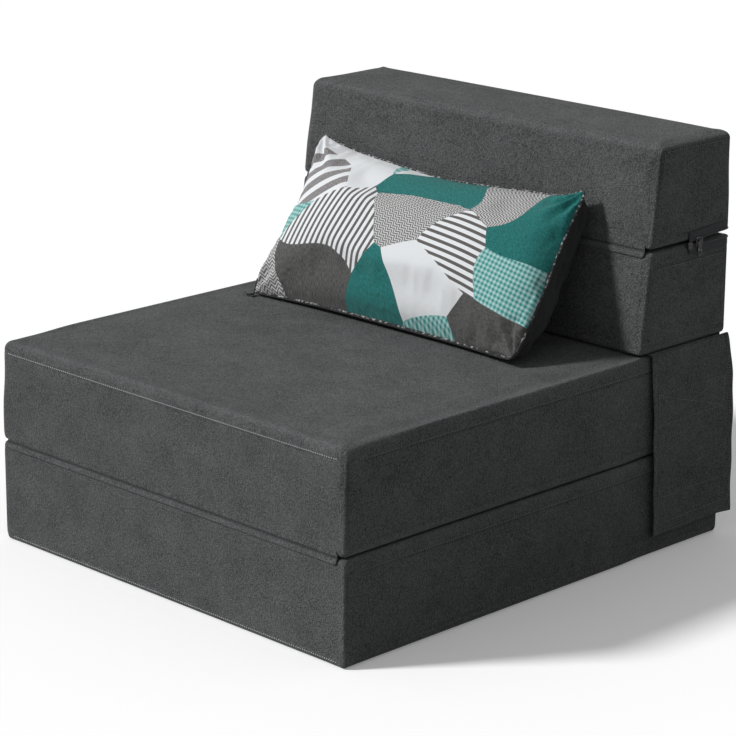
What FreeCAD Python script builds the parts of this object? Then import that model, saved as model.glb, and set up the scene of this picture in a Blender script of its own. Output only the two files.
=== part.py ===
"""Fold-out foam chair bed with side flaps, zips and a loose lumbar pillow.

Millimetres, +Z up.  X runs across the chair (right side +X), Y runs from the
front of the seat (-Y) to the rear (+Y).  The origin is the centre of the base
block's underside, on the floor.

Four foam blocks are stacked and joined by fabric hinges in zigzag order:
base to seat at the front, seat to lower back at the rear, lower back to upper
back at the front.  Unfolded they lie in one line as a bed.
"""
import FreeCAD
import Part

import math
import os

V = FreeCAD.Vector

# Driving dimensions
width = 700.0            # across the seat
depth = 770.0            # front of the seat to the rear
tier = 150.0             # thickness of each foam block, with its share of the joint
tier_gap = 3.0           # free height between two stacked blocks
back_foot = 196.0        # depth of the back at its bottom
back_lean = 16.0         # how far each back block's front leans over its height

# Soft form of a block
cover_wall = 2.4         # cover fabric with its wadding
foam_play = 0.4          # free space between foam and cover
crown = 3.0              # rise of a block's top in the middle
seat_free = 215.0        # the seat's level middle ends this far ahead of the back
bulge = 2.0              # swell of a block's front in the middle
joint_radius = 11.0      # corner radius along a hinge
free_radius = 22.0       # corner radius at a free edge
side_radius = 11.0       # corner radius round the two side panels
side_draw = 1.0          # how far the side panels stand inside the nominal width
rear_draw = 2.0          # how far the rear panels stand inside the nominal depth

# Fabric hinges
strip_height = 22.0
strip_thick = 1.6
strip_play = 0.4
strip_end = 6.0          # the strip stops this far from the side panel

# Side flaps
flap_thick = 2.2
flap_drop = 10.0         # the flap's top edge hangs this far under the back's foot
flap_foot = 30.0         # height of its lower edge over the floor
flap_inset = 23.0        # front edge behind the back's front
flap_rear_over = 14.0    # the flap reaches this far past the rear
flap_hem = 9.0
patch_thick = 1.2
patch_play = 0.4
patch_height = 56.0
patch_rise = 40.0        # upper patch over the joint of base and seat
patch_foot = 6.0         # lower patch over the flap's lower edge
cord_radius = 1.6
band_thick = 2.0
band_play = 0.6

# Zips
zip_margin = 70.0        # from each end of a cover zip to the nominal side
tape_height = 22.0
tape_thick = 0.8
coil_height = 5.0
coil_thick = 0.6
zip_play = 0.3
head_tape_height = 15.0
head_tape_inset = 84.0   # the long zip starts this far behind the back's front
slider_length = 12.0
slider_height = 9.0
slider_plate = 2.0
lug_thick = 1.0
barrel_radius = 1.25
pin_radius = 0.45
pin_play = 0.35
pin_out = 0.7            # pin's height over the slider plate
pull_length = 18.0
pull_width = 6.0
pull_thick = 0.9

# Loose pillow
pillow_width = 566.0
pillow_low = 124.0       # centre to the bottom seam, along the lean
pillow_high = 126.0      # centre to the top seam in the middle
pillow_ear = 146.0       # centre to the tip of a top corner
pillow_half = 65.0       # half thickness in the middle
pillow_lean = 37.8       # degrees from upright
pillow_ahead = 10.0      # free space between the pillow's middle and the back
pillow_rest = 0.65       # free height between the pillow and the seat's level
pillow_wall = 2.0
pillow_play = 0.4
pillow_draw = 14.0       # how far the short sides are drawn in
pillow_chords = 10       # chords from seam to seam

side = width / 2.0 - side_draw
front = -depth / 2.0
rear = depth / 2.0 - rear_draw
levels = [tier * n for n in range(5)]
back_low_y = depth / 2.0 - back_foot
back_mid_y = back_low_y + back_lean
back_top_y = back_mid_y + back_lean
flap_top = levels[2] - flap_drop
flap_front = back_low_y + flap_inset
seat_patch_z = levels[1] + patch_rise
base_patch_z = flap_foot + patch_foot
zip_run = width - 2.0 * zip_margin
head_tape_start = back_mid_y + head_tape_inset


def box(x0, x1, y0, y1, z0, z1):
    """Box between six planes."""
    return Part.makeBox(x1 - x0, y1 - y0, z1 - z0, V(x0, y0, z0))


def rod(start, end, radius):
    """Round bar between two points."""
    line = end.sub(start)
    return Part.makeCylinder(radius, line.Length, start, line)


def local(shape, origin, u, v, w):
    """Move a shape from its own (u, v, w) axes into the model."""
    m = FreeCAD.Matrix(u.x, v.x, w.x, origin.x,
                       u.y, v.y, w.y, origin.y,
                       u.z, v.z, w.z, origin.z,
                       0, 0, 0, 1)
    moved = shape.copy()
    moved.Placement = FreeCAD.Placement(m).multiply(moved.Placement)
    return moved


def edges_along_x(solid):
    """The straight edges that run across the chair."""
    found = []
    for edge in solid.Edges:
        a = edge.Vertexes[0].Point
        b = edge.Vertexes[-1].Point
        if abs(a.y - b.y) < 0.01 and abs(a.z - b.z) < 0.01 and abs(a.x - b.x) > 1.0:
            found.append(edge)
    return found


def flat_panels(a, b):
    """Flat faces between two straight edges: one, or two where they twist."""
    p, q = a.Vertexes[0].Point, a.Vertexes[-1].Point
    r, t = b.Vertexes[0].Point, b.Vertexes[-1].Point
    if (t - r).dot(q - p) < 0:
        r, t = t, r
    normal = (q - p).cross(r - p)
    if abs(normal.dot(t - p)) < 1e-6 * normal.Length:
        return [Part.Face(Part.makePolygon([p, q, t, r, p]))]
    return [Part.Face(Part.makePolygon([p, q, t, p])), Part.Face(Part.makePolygon([p, t, r, p]))]


def skin(wires):
    """Solid with a ruled face between each pair of matching section edges."""
    faces = [Part.Face(wires[0]), Part.Face(wires[-1])]
    for below, above in zip(wires, wires[1:]):
        for a, b in zip(below.OrderedEdges, above.OrderedEdges):
            if isinstance(a.Curve, Part.Line):
                faces.extend(flat_panels(a, b))
            else:
                faces.append(Part.makeRuledSurface(a, b))
    shell = Part.Shell(faces)
    shell.sewShape()
    solid = Part.Solid(Part.Shell(shell.Faces))
    if solid.Volume < 0:
        solid.reverse()
    return solid


def section(half, y0, y1, z, corner, chords):
    """Level outline of a block: a rectangle whose corners are turned in chords."""
    corner = min(corner, 0.4 * (y1 - y0))
    centres = [(half - corner, y0 + corner, -90), (half - corner, y1 - corner, 0),
               (corner - half, y1 - corner, 90), (corner - half, y0 + corner, 180)]
    points = []
    for cx, cy, start in centres:
        for n in range(chords + 1):
            a = math.radians(start + 90.0 * n / chords)
            points.append(V(cx + corner * math.cos(a), cy + corner * math.sin(a), z))
    return Part.makePolygon(points + points[:1])


def soft_block(y_foot, y_head, z0, z1, rounds, level_end, inset=0.0):
    """Padded block: swollen front, crowned top, eased edges.

    y_foot and y_head are the front panel's Y at the bottom and the top.
    rounds holds the edge radii round the foot, along the top front and round
    the rest of the top.  level_end is the rear end of the crown's level
    middle, or None where that lies in the block's middle.  An inset block
    fits inside the cover, with its edges cut instead of rounded, as foam is
    cut.
    """
    outer = inset == 0.0
    turns = (0, 30, 60, 90) if outer else (0, 90)
    size = 1.0 if outer else 0.6
    foot, head_front, head = [r * size for r in rounds]
    low = z0 + inset
    high = z1 - inset - crown
    rows = []
    for turn in turns:
        a = math.radians(turn)
        in_set = foot * (1.0 - math.sin(a))
        rows.append((low + foot * (1.0 - math.cos(a)), in_set, in_set, in_set))
    for share in (0.25, 0.5, 0.75):
        rows.append((low + foot + share * (high - head - low - foot), 0.0, 0.0, 0.0))
    for turn in reversed(turns):
        a = math.radians(turn)
        draw = 1.0 - math.sin(a)
        rows.append((high - head * (1.0 - math.cos(a)), head_front * draw, head * draw, head * draw))
    reach = (rear - y_head) / 2.0
    level_start = 0.42
    rear_reach = reach
    if level_end is not None:
        rear_reach = (rear - head - level_end) / level_start
    for share, lift in ((0.08, 0.6), (0.2, 0.93), (level_start, 1.0)):
        rows.append((high + crown * lift, head_front + share * reach, head + share * reach,
                     head + share * rear_reach))
    wires = []
    for z, in_front, in_side, in_rear in rows:
        up = (z - z0) / (z1 - z0)
        face = y_foot + (y_head - y_foot) * up + bulge * (2.0 * up - 1.0) ** 2
        corner = max((side_radius - inset) * size - 0.7 * in_side, 3.0) + max(in_side - head, 0.0) * 0.3
        wires.append(section(side - inset - in_side, face + inset + in_front,
                             rear - inset - in_rear, z, corner, 3 if outer else 1))
    return skin(wires)


def covered_block(name, y_foot, y_head, z0, z1, rounds, level_end=None):
    """A zipped cover and the foam inside it."""
    outer = soft_block(y_foot, y_head, z0, z1, rounds, level_end)
    hollow = soft_block(y_foot, y_head, z0, z1, rounds, level_end, cover_wall)
    foam = soft_block(y_foot, y_head, z0, z1, rounds, level_end, cover_wall + foam_play)
    return {name + "_cover": outer.cut(hollow), name + "_foam": foam}


def blocks():
    """The four foam blocks in their covers."""
    half_gap = tier_gap / 2.0
    joint, free = joint_radius, free_radius
    parts = {}
    parts.update(covered_block("base", front, front, 0.0, levels[1] - half_gap,
                               (joint, joint, joint)))
    parts.update(covered_block("seat", front, front, levels[1] + half_gap, levels[2] - half_gap,
                               (joint, free, joint), back_low_y - seat_free))
    parts.update(covered_block("back_lower", back_low_y, back_mid_y, levels[2] + half_gap,
                               levels[3] - half_gap, (joint, joint, joint)))
    parts.update(covered_block("back_upper", back_mid_y, back_top_y, levels[3] + half_gap,
                               levels[4] - half_gap, (joint, free, free)))
    return parts


def hinge_strips():
    """Three fabric strips, each sewn to the two blocks that it joins."""
    reach = side - strip_end
    tall = strip_height / 2.0
    y_front = front + bulge - strip_play
    y_rear = rear + strip_play
    lean = math.degrees(math.atan2(back_lean, tier))
    strips = {
        "front_hinge_strip": box(-reach, reach, y_front - strip_thick, y_front,
                                 levels[1] - tall, levels[1] + tall),
        "rear_hinge_strip": box(-reach, reach, y_rear, y_rear + strip_thick,
                                levels[2] - tall, levels[2] + tall),
    }
    y_head = back_mid_y + bulge - strip_play
    head = box(-reach, reach, y_head - strip_thick, y_head, levels[3] - tall, levels[3] + tall)
    head.rotate(V(0, y_head, levels[3]), V(1, 0, 0), -lean)
    strips["head_hinge_strip"] = head
    return {name: solid.makeChamfer(strip_thick * 0.3, edges_along_x(solid))
            for name, solid in strips.items()}


def flap_panel(hand):
    """One side flap with its hem, and its two hook patches."""
    x_in = side + patch_thick + patch_play + patch_thick
    x_out = x_in + flap_thick
    over = rear + flap_rear_over
    hang = flap_top - flap_foot
    corners = [
        (flap_front, flap_top),
        (flap_front + 11.0, flap_foot + 1.0),
        (over + 5.0, flap_foot),
        (over + 2.0, flap_foot + 0.35 * hang),
        (over, flap_foot + 0.8 * hang),
        (rear + 2.0, flap_top),
    ]
    sheet = Part.Face(Part.makePolygon([V(x_in, y, z) for y, z in corners + corners[:1]]))
    sheet = sheet.extrude(V(flap_thick, 0, 0))
    low_corners = [e for e in sheet.Edges if e.BoundBox.XMax - e.BoundBox.XMin > flap_thick * 0.5
                   and e.BoundBox.ZMax < flap_foot + 2.0]
    sheet = sheet.makeFillet(9.0, low_corners)
    field = [
        (flap_front + flap_hem, flap_top - flap_hem),
        (flap_front + 10.0 + flap_hem, flap_foot + 1.0 + flap_hem),
        (over + 4.0 - flap_hem, flap_foot + flap_hem),
        (over + 2.0 - flap_hem, flap_foot + 0.35 * hang),
        (over - flap_hem, flap_foot + 0.8 * hang - 4.0),
        (rear + 1.0 - flap_hem, flap_top - flap_hem),
    ]
    inner = Part.Face(Part.makePolygon([V(x_out - 0.5, y, z) for y, z in field + field[:1]]))
    sheet = sheet.cut(inner.extrude(V(1.0, 0, 0)))
    upper = patch(x_in - patch_thick, flap_front + 12.0, rear - 2.0, seat_patch_z)
    lower = patch(x_in - patch_thick, flap_front + 16.0, rear - 2.0, base_patch_z)
    shapes = {"flap_": sheet, "hook_upper_": upper, "hook_lower_": lower}
    return {name + hand: mirrored(solid, hand) for name, solid in shapes.items()}


def patch(x, y0, y1, z0):
    """A sewn hook or loop patch with rounded corners."""
    solid = box(x, x + patch_thick, y0, y1, z0, z0 + patch_height)
    ends = [e for e in solid.Edges if e.BoundBox.XMax - e.BoundBox.XMin > patch_thick * 0.5
            and e.BoundBox.YMax - e.BoundBox.YMin < 0.01 and e.BoundBox.ZMax - e.BoundBox.ZMin < 0.01]
    return solid.makeChamfer(4.0, ends)


def mirrored(solid, hand):
    """The right-hand solid, or its mirror image for the left."""
    return solid if hand == "right" else solid.mirror(V(0, 0, 0), V(1, 0, 0))


def flap_root(hand):
    """The corded band at a flap's top and the seam that holds it to the lower back."""
    y0 = flap_front
    y1 = rear + 2.0
    x_axis = side + 0.3 + cord_radius
    z_axis = levels[2] + 1.0
    cord = rod(V(x_axis, y0, z_axis), V(x_axis, y1, z_axis), cord_radius)
    x_in = side + 2.0 * patch_thick + patch_play
    leaf = box(x_in, x_in + band_thick, y0, y1, flap_top + band_play, z_axis)
    band = cord.fuse(leaf).removeSplitter()
    under = levels[2] + tier_gap / 2.0
    tab = box(side - 14.0, side, y0, rear - joint_radius, under - 1.2, under)
    return {"flap_band_" + hand: mirrored(band, hand), "flap_seam_" + hand: mirrored(tab, hand)}


def loops(hand):
    """The loop patches on the seat and base side panels."""
    y0 = flap_front + 14.0
    y1 = rear - joint_radius
    seat = patch(side, y0, y1, seat_patch_z)
    base = patch(side, y0, y1, base_patch_z)
    return {"loop_seat_" + hand: mirrored(seat, hand), "loop_base_" + hand: mirrored(base, hand)}


def slider_unit(length, tall):
    """Zip slider in its own axes: u along the zip, v outward, w up.

    The plate narrows to its nose, and a recess between two lugs holds the
    pin on which the pull turns.
    """
    half = length / 2.0
    top = tall / 2.0
    outline = [(-half, top * 0.55), (-half, -top * 0.55), (-half * 0.3, -top), (half, -top),
               (half, top), (-half * 0.3, top)]
    face = Part.Face(Part.makePolygon([V(u, 0, w) for u, w in outline + outline[:1]]))
    plate = face.extrude(V(0, slider_plate, 0))
    inner = pull_width / 2.0 - 0.5 + pin_play
    v_pin = slider_plate + pin_out
    w_pin = top * 0.3
    room = barrel_radius + pin_play
    plate = plate.cut(rod(V(-inner, v_pin, w_pin), V(inner, v_pin, w_pin), room))
    lugs = []
    for sign in (-1, 1):
        a = sign * inner
        b = sign * (inner + lug_thick)
        lug = box(min(a, b), max(a, b), slider_plate - 0.5, v_pin + 1.0, w_pin - 1.2, w_pin + 1.2)
        lugs.append(lug)
    pin = rod(V(-inner - 0.5, v_pin, w_pin), V(inner + 0.5, v_pin, w_pin), pin_radius)
    return plate.multiFuse(lugs + [pin]).removeSplitter()


def pull_unit(tall, length=pull_length, wide=pull_width):
    """Pull tab in the slider's axes: a barrel on the pin and a holed leaf."""
    v_pin = slider_plate + pin_out
    w_pin = tall / 2.0 * 0.3
    half = pull_width / 2.0 - 0.5
    barrel = rod(V(-half, v_pin, w_pin), V(half, v_pin, w_pin), barrel_radius)
    leaf_in = slider_plate + zip_play
    leaf = box(-wide / 2.0, wide / 2.0, leaf_in, leaf_in + pull_thick, w_pin - length, w_pin - 2.4)
    neck = box(-half, half, leaf_in, leaf_in + pull_thick, w_pin - 3.0, w_pin)
    foot = [e for e in leaf.Edges if abs(e.BoundBox.ZMax - (w_pin - length)) < 0.01
            and e.BoundBox.YMax - e.BoundBox.YMin > pull_thick * 0.5]
    leaf = leaf.makeFillet(wide * 0.4, foot)
    eye = w_pin - length + wide * 0.62
    hole = rod(V(0, leaf_in - 1, eye), V(0, leaf_in + 3, eye), wide * 0.28)
    body = barrel.fuse([neck, leaf]).cut(hole)
    bore = rod(V(-half - 1, v_pin, w_pin), V(half + 1, v_pin, w_pin), pin_radius + pin_play)
    return body.cut(bore).removeSplitter()


def rear_zip(name, z):
    """Straight zip on a rear panel, with its slider parked at the left end."""
    x0 = -zip_run / 2.0
    x1 = zip_run / 2.0
    tape = box(x0, x1, rear, rear + tape_thick, z - tape_height / 2.0, z + tape_height / 2.0)
    coil = box(x0 + 6, x1 - 6, rear + tape_thick * 0.5, rear + tape_thick + coil_thick,
               z - coil_height / 2.0, z + coil_height / 2.0)
    outer = rear + tape_thick + coil_thick + zip_play
    seat = V(x0 + 6 + slider_length / 2.0, outer, z)
    axes = (V(1, 0, 0), V(0, 1, 0), V(0, 0, 1))
    return {
        name + "_zip_tape": tape.fuse(coil).removeSplitter(),
        name + "_zip_slider": local(slider_unit(slider_length, slider_height), seat, *axes),
        name + "_zip_pull": local(pull_unit(slider_height), seat, *axes),
    }


def tape_loop(z0, z1):
    """Zip tape that follows both sides and the rear of the back."""
    rings = []
    for grow in (0.1, 0.1 + tape_thick):
        half = side + grow
        plan = Part.makePlane(2 * half, rear + grow - 100.0, V(-half, 100.0, z0))
        block = plan.extrude(V(0, 0, z1 - z0))
        corner = [e for e in block.Edges if e.BoundBox.ZMax - e.BoundBox.ZMin > 1.0
                  and e.BoundBox.YMin > rear]
        rings.append(block.makeFillet(side_radius + grow, corner))
    ring = rings[1].cut(rings[0])
    return ring.common(box(-side - 5, side + 5, head_tape_start, rear + 5, z0, z1))


def head_zip():
    """The long zip that closes the two back blocks together, shown open."""
    joint = levels[3]
    lower = tape_loop(joint - 4.0 - head_tape_height, joint - 4.0)
    upper = tape_loop(joint + 4.0, joint + 4.0 + head_tape_height)
    outer = side + 0.1 + tape_thick
    end_box = box(outer - 0.3, outer + 2.6, head_tape_start - 3.0, head_tape_start + 6.0,
                  joint - 9.0, joint + 1.5)
    upright = [e for e in end_box.Edges if e.BoundBox.ZMax - e.BoundBox.ZMin > 1.0]
    end_box = end_box.makeFillet(1.0, upright)
    end_box = end_box.cut(box(0, outer, 0, rear, joint - 30.0, joint + 30.0))
    seat = V(outer + zip_play, head_tape_start + 22.0, joint)
    axes = (V(0, -1, 0), V(1, 0, 0), V(0, 0, 1))
    return {
        "head_zip_tape_lower": lower,
        "head_zip_tape_upper": upper,
        "head_zip_box": end_box,
        "head_zip_slider": local(slider_unit(15.0, 13.0), seat, *axes),
        "head_zip_pull": local(pull_unit(13.0, 24.0, 8.0), seat, *axes),
    }


lean_rad = math.radians(pillow_lean)
pillow_up = V(0, math.sin(lean_rad), math.cos(lean_rad))
pillow_out = V(0, -math.cos(lean_rad), math.sin(lean_rad))


def pillow_seat():
    """The pillow's centre, where its rear panel rests on the seat.

    The panel leaves the bottom seam at twice the angle whose tangent is the
    half thickness over the half height.  Past the level it dips under the
    seam by radius * (1 - cos).
    """
    half_height = (pillow_low + pillow_high) / 2.0
    leave = 2.0 * math.atan(pillow_half / half_height)
    past = max(leave + lean_rad - math.pi / 2.0, 0.0)
    radius = (half_height ** 2 + pillow_half ** 2) / (2.0 * pillow_half)
    dip = radius * (1.0 - math.cos(past))
    return V(0, back_low_y - pillow_ahead - pillow_half,
             levels[2] + pillow_rest + dip + pillow_low * math.cos(lean_rad))


pillow_centre = pillow_seat()

# Share of the half width, then half thickness and upper height as shares of the full ones
pillow_stations = [(0.0, 1.0, 0.0), (0.24, 0.99, 0.01), (0.45, 0.94, 0.06), (0.62, 0.84, 0.16),
                   (0.75, 0.71, 0.31), (0.85, 0.53, 0.5), (0.92, 0.34, 0.7), (0.97, 0.16, 0.88),
                   (1.0, 0.055, 1.0)]


def lens_side(x, low, high, half):
    """Chords of the arc from the bottom seam to the top seam on one side.

    An arc of rise h over a half chord c has the radius (c*c + h*h) / 2h.
    """
    c = (high - low) / 2.0
    rise = abs(half)
    radius = (c * c + rise * rise) / (2.0 * rise)
    turn = math.asin(c / radius)
    if rise > c:
        turn = math.pi - turn
    points = []
    for n in range(pillow_chords + 1):
        a = turn * (2.0 * n / pillow_chords - 1.0)
        along = (low + high) / 2.0 + radius * math.sin(a)
        out = math.copysign(radius * math.cos(a) - (radius - rise), half)
        if n in (0, pillow_chords):
            out = 0.0
        points.append(pillow_centre + pillow_up * along + pillow_out * out + V(x, 0, 0))
    return points


def pillow_lens(inset, end_inset):
    """Pillow body: a lens section that thins towards both ends.

    Each section is two arcs in chords from the bottom seam to the top seam,
    and the top seam rises to an ear at each corner.
    """
    wires = []
    reach = pillow_width / 2.0 - end_inset
    rows = [(-s, t, e) for s, t, e in reversed(pillow_stations[1:])] + pillow_stations
    for share, thick, ear in rows:
        x = share * reach
        low = pillow_low - inset * 2.0
        high = pillow_high + (pillow_ear - pillow_high) * ear - inset * 2.0
        half = max(pillow_half * thick - inset, 1.2)
        ahead = lens_side(x, -low, high, half)
        behind = lens_side(x, -low, high, -half)
        outline = ahead + behind[-2:0:-1]
        wires.append(Part.makePolygon(outline + outline[:1]))
    return skin(wires)


def pillow():
    """Front and back panels, filling and the zip in the bottom seam."""
    body = pillow_lens(0.0, 0.0)
    chord = pillow_low
    arc_radius = (chord ** 2 + pillow_draw ** 2) / (2.0 * pillow_draw)
    for sign in (-1, 1):
        x = sign * (pillow_width / 2.0 - pillow_draw + arc_radius)
        start = pillow_centre.add(V(x, 0, 0)).sub(pillow_out * 200.0)
        body = body.cut(rod(start, start.add(pillow_out * 400.0), arc_radius))
    hollow = pillow_lens(pillow_wall, pillow_draw + 6.0)
    filling = pillow_lens(pillow_wall + pillow_play, pillow_draw + 7.0)
    shell = body.cut(hollow)
    room = Part.makeBox(800, 500, 300, V(-400, -250, 0))
    ahead = local(room, pillow_centre, V(1, 0, 0), pillow_up, pillow_out)
    behind = local(room, pillow_centre, V(-1, 0, 0), pillow_up, pillow_out * -1.0)
    parts = {
        "pillow_front": shell.common(ahead),
        "pillow_back": shell.common(behind),
        "pillow_filling": filling,
    }
    seam = pillow_centre.sub(pillow_up * pillow_low)
    x0 = -pillow_width / 2.0 + 1.0
    tape = box(x0, -x0 - 20.0, seam.y - 9.0, seam.y - 0.3, seam.z - 0.6, seam.z + 0.6)
    at = x0 + 3.0
    y_lip = seam.y - 12.0
    shoe = box(at, at + slider_length, y_lip, seam.y - 3.5, seam.z - 1.9, seam.z + 1.9)
    slot = box(at - 1, at + slider_length + 1, y_lip + 2.7, seam.y, seam.z - 0.9, seam.z + 0.9)
    inner = pull_width / 2.0 - 0.5 + pin_play
    pin_at = V(at + 5.0, y_lip + 4.2, seam.z + 1.9)
    axes = (V(0, 1, 0), V(0, 0, 1), V(1, 0, 0))
    lug_top = barrel_radius + pin_play + 0.9
    lugs = []
    for sign in (-1, 1):
        a = sign * inner
        b = sign * (inner + lug_thick)
        lugs.append(box(min(a, b), max(a, b), -0.5, lug_top, -1.3, 1.3))
    v_pin = barrel_radius + pin_play
    lugs.append(rod(V(-inner - 0.5, v_pin, 0), V(inner + 0.5, v_pin, 0), pin_radius))
    cheek = [local(part, pin_at, *axes) for part in lugs]
    shoe = shoe.cut(slot).multiFuse(cheek).removeSplitter()
    pull = pull_unit(0.0)
    pull.translate(V(0, v_pin - slider_plate - pin_out, 0))
    parts["pillow_zip_tape"] = tape
    parts["pillow_zip_slider"] = shoe
    parts["pillow_zip_pull"] = local(pull, pin_at, *axes)
    return parts


def check(name, solid):
    """Stop unless the node is one valid closed solid."""
    solids = solid.Solids
    if len(solids) != 1:
        raise ValueError("%s holds %d solids" % (name, len(solids)))
    if not solids[0].isValid():
        raise ValueError("%s is not valid" % name)
    return solids[0]


def main():
    """Build every node and write one STEP file for each."""
    nodes = {}
    nodes.update(blocks())
    nodes.update(hinge_strips())
    for hand in ("right", "left"):
        nodes.update(flap_panel(hand))
        nodes.update(flap_root(hand))
        nodes.update(loops(hand))
    for name, share in (("base", 0.5), ("seat", 1.33), ("back_lower", 2.3), ("back_upper", 3.55)):
        nodes.update(rear_zip(name, tier * share))
    nodes.update(head_zip())
    nodes.update(pillow())
    os.makedirs("parts", exist_ok=True)
    for name, shape in nodes.items():
        solid = check(name, shape)
        solid.exportStep("parts/%s.step" % name)
        b = solid.BoundBox
        print("%-22s %9.0f mm3  x %7.1f %7.1f  y %7.1f %7.1f  z %6.1f %6.1f" % (
            name, solid.Volume, b.XMin, b.XMax, b.YMin, b.YMax, b.ZMin, b.ZMax))
    print(len(nodes), "nodes")


main()
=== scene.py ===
# %% [markdown]
# A fold-out chair bed, made in Blender round its imported frame.
# The real object is four foam blocks in zipped fabric covers, joined in a zigzag by fabric
# strips, with two side flaps and a loose pillow. The frame holds every piece as a hard CAD
# solid. Each soft one is made again here as the cloth it is, and all but the hinge strips and
# the flap cloths ride on the same body.
# %% Load the frame and keep its box
import math
import bpy
import numpy as np
from mathutils import Matrix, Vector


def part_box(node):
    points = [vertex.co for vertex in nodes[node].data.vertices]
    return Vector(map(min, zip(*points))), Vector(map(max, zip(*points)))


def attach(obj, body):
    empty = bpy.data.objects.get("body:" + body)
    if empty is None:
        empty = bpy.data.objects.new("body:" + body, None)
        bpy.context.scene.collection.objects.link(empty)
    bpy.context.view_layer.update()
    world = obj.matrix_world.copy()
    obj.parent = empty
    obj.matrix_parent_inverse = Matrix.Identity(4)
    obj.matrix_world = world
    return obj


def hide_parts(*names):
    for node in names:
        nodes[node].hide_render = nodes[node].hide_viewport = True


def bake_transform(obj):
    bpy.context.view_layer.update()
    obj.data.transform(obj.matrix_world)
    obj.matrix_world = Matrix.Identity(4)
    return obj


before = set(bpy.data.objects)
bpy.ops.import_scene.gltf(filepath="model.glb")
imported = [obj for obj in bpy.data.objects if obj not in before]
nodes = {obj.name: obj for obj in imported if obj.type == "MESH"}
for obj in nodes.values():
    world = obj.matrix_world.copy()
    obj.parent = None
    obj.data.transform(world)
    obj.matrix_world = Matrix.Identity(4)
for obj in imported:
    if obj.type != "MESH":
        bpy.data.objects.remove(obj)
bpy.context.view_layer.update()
scene = bpy.context.scene

# %% [markdown]
# The camera stands where the photograph was taken: to the front and right, a little above.
# Its place came from fitting the four blocks' edges to the picture, so it is written as plain
# numbers: a point, a heading, a pitch and a slight roll.
# %% Camera
camera_at = np.array([2.7863, -2.7802, 1.4109])
heading, pitch, roll = (math.radians(x) for x in (45.015, 16.402, 0.326))
x_way, y_way, z_way = np.eye(3)


def unit(vectors):
    """The same directions, each of length 1."""
    return vectors / np.linalg.norm(vectors, axis=-1, keepdims=True)


def put(item, columns, at):
    """Turns an object so that its x, y and z point along three directions, and sets it at a point."""
    place = np.eye(4)
    place[:3, :3], place[:3, 3] = np.stack(columns, axis=1), at
    item.matrix_world = Matrix(place.tolist())
    scene.collection.objects.link(item)


back = np.array([math.sin(heading) * math.cos(pitch), -math.cos(heading) * math.cos(pitch), math.sin(pitch)])
right = unit(np.cross(z_way, back))
up = np.cross(back, right)
camera_data = bpy.data.cameras.new("camera")
camera_data.sensor_width = 36.0
camera_data.lens = 139.8
camera = bpy.data.objects.new("camera", camera_data)
rolled_right = math.cos(roll) * right + math.sin(roll) * up
rolled_up = math.cos(roll) * up - math.sin(roll) * right
put(camera, (rolled_right, rolled_up, back), camera_at)
scene.camera = camera
print("camera distance", round(float(np.linalg.norm(camera_at)), 3), "m")

# %% [markdown]
# A shader is a sum of patterns. It is easier to write when a node's output can be added and
# multiplied like a number, so a Flow does just that: each + or * adds a Math node to its tree.
# The helpers under it add a node and feed its inputs, each with a number or another Flow.
# %% Shader helpers
class Flow:
    """What comes out of a node. + - and * with it add a Math node."""

    def __init__(self, tree, socket):
        self.tree, self.socket = tree, socket

    def __add__(self, other):
        return calc("ADD", self, other)

    def __mul__(self, other):
        return calc("MULTIPLY", self, other)

    def __rsub__(self, other):
        return calc("SUBTRACT", other, self)

    __radd__, __rmul__ = __add__, __mul__


class Outputs:
    """A node's outputs by name or number, each as a Flow."""

    def __init__(self, tree, node):
        self.tree, self.node = tree, node

    def __getitem__(self, key):
        return Flow(self.tree, self.node.outputs[key])


def feed(socket, value):
    """Links a flow into the socket, or sets the socket's own value."""
    if isinstance(value, Flow):
        value.tree.links.new(value.socket, socket)
    else:
        socket.default_value = value


def add_node(tree, kind, inputs=None, **settings):
    """A new node with its settings made and its inputs fed."""
    node = tree.nodes.new(kind)
    for key, value in settings.items():
        setattr(node, key, value)
    for key, value in (inputs or {}).items():
        feed(node.inputs[key], value)
    return Outputs(tree, node)


def calc(operation, *values):
    """One Math node."""
    tree = next(value.tree for value in values if isinstance(value, Flow))
    return add_node(tree, "ShaderNodeMath", dict(enumerate(values)), operation=operation)[0]


def blend_colours(share, first, second):
    """First colour where share is 0 and second where it is 1, each a flow or red, green and blue."""
    first, second = (colour + (1.0,) if isinstance(colour, tuple) else colour for colour in (first, second))
    return add_node(share.tree, "ShaderNodeMix", {0: share, 6: first, 7: second}, data_type="RGBA")[2]


def noise(where, scale, detail=2.0, roughness=0.5):
    """A Noise texture's value."""
    inputs = {"Vector": where, "Scale": scale, "Detail": detail, "Roughness": roughness}
    return add_node(where.tree, "ShaderNodeTexNoise", inputs)[0]


def cell_distance(where, scale):
    """How far each place is from the middle of its Voronoi cell."""
    return add_node(where.tree, "ShaderNodeTexVoronoi", {"Vector": where, "Scale": scale})["Distance"]


def spread(value, low, high):
    """The value stretched so that low becomes 0 and high becomes 1."""
    return add_node(value.tree, "ShaderNodeMapRange", {"Value": value, "From Min": low, "From Max": high})[0]


def bump(height, distance, strength=1.0):
    """A Bump node's normal."""
    inputs = {"Strength": strength, "Distance": distance, "Height": height}
    return add_node(height.tree, "ShaderNodeBump", inputs)[0]


def new_group(name, sockets_in, sockets_out):
    """An empty node group. Each input is its name, its kind and its value, and each output a name."""
    tree = bpy.data.node_groups.new(name, "ShaderNodeTree")
    for label, kind, value in sockets_in:
        socket = tree.interface.new_socket(name=label, in_out="INPUT", socket_type="NodeSocket" + kind)
        if value is not None:
            socket.default_value = value
    for label, kind in sockets_out:
        tree.interface.new_socket(name=label, in_out="OUTPUT", socket_type="NodeSocket" + kind)
    return tree, Outputs(tree, tree.nodes.new("NodeGroupInput")), tree.nodes.new("NodeGroupOutput").inputs


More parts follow.
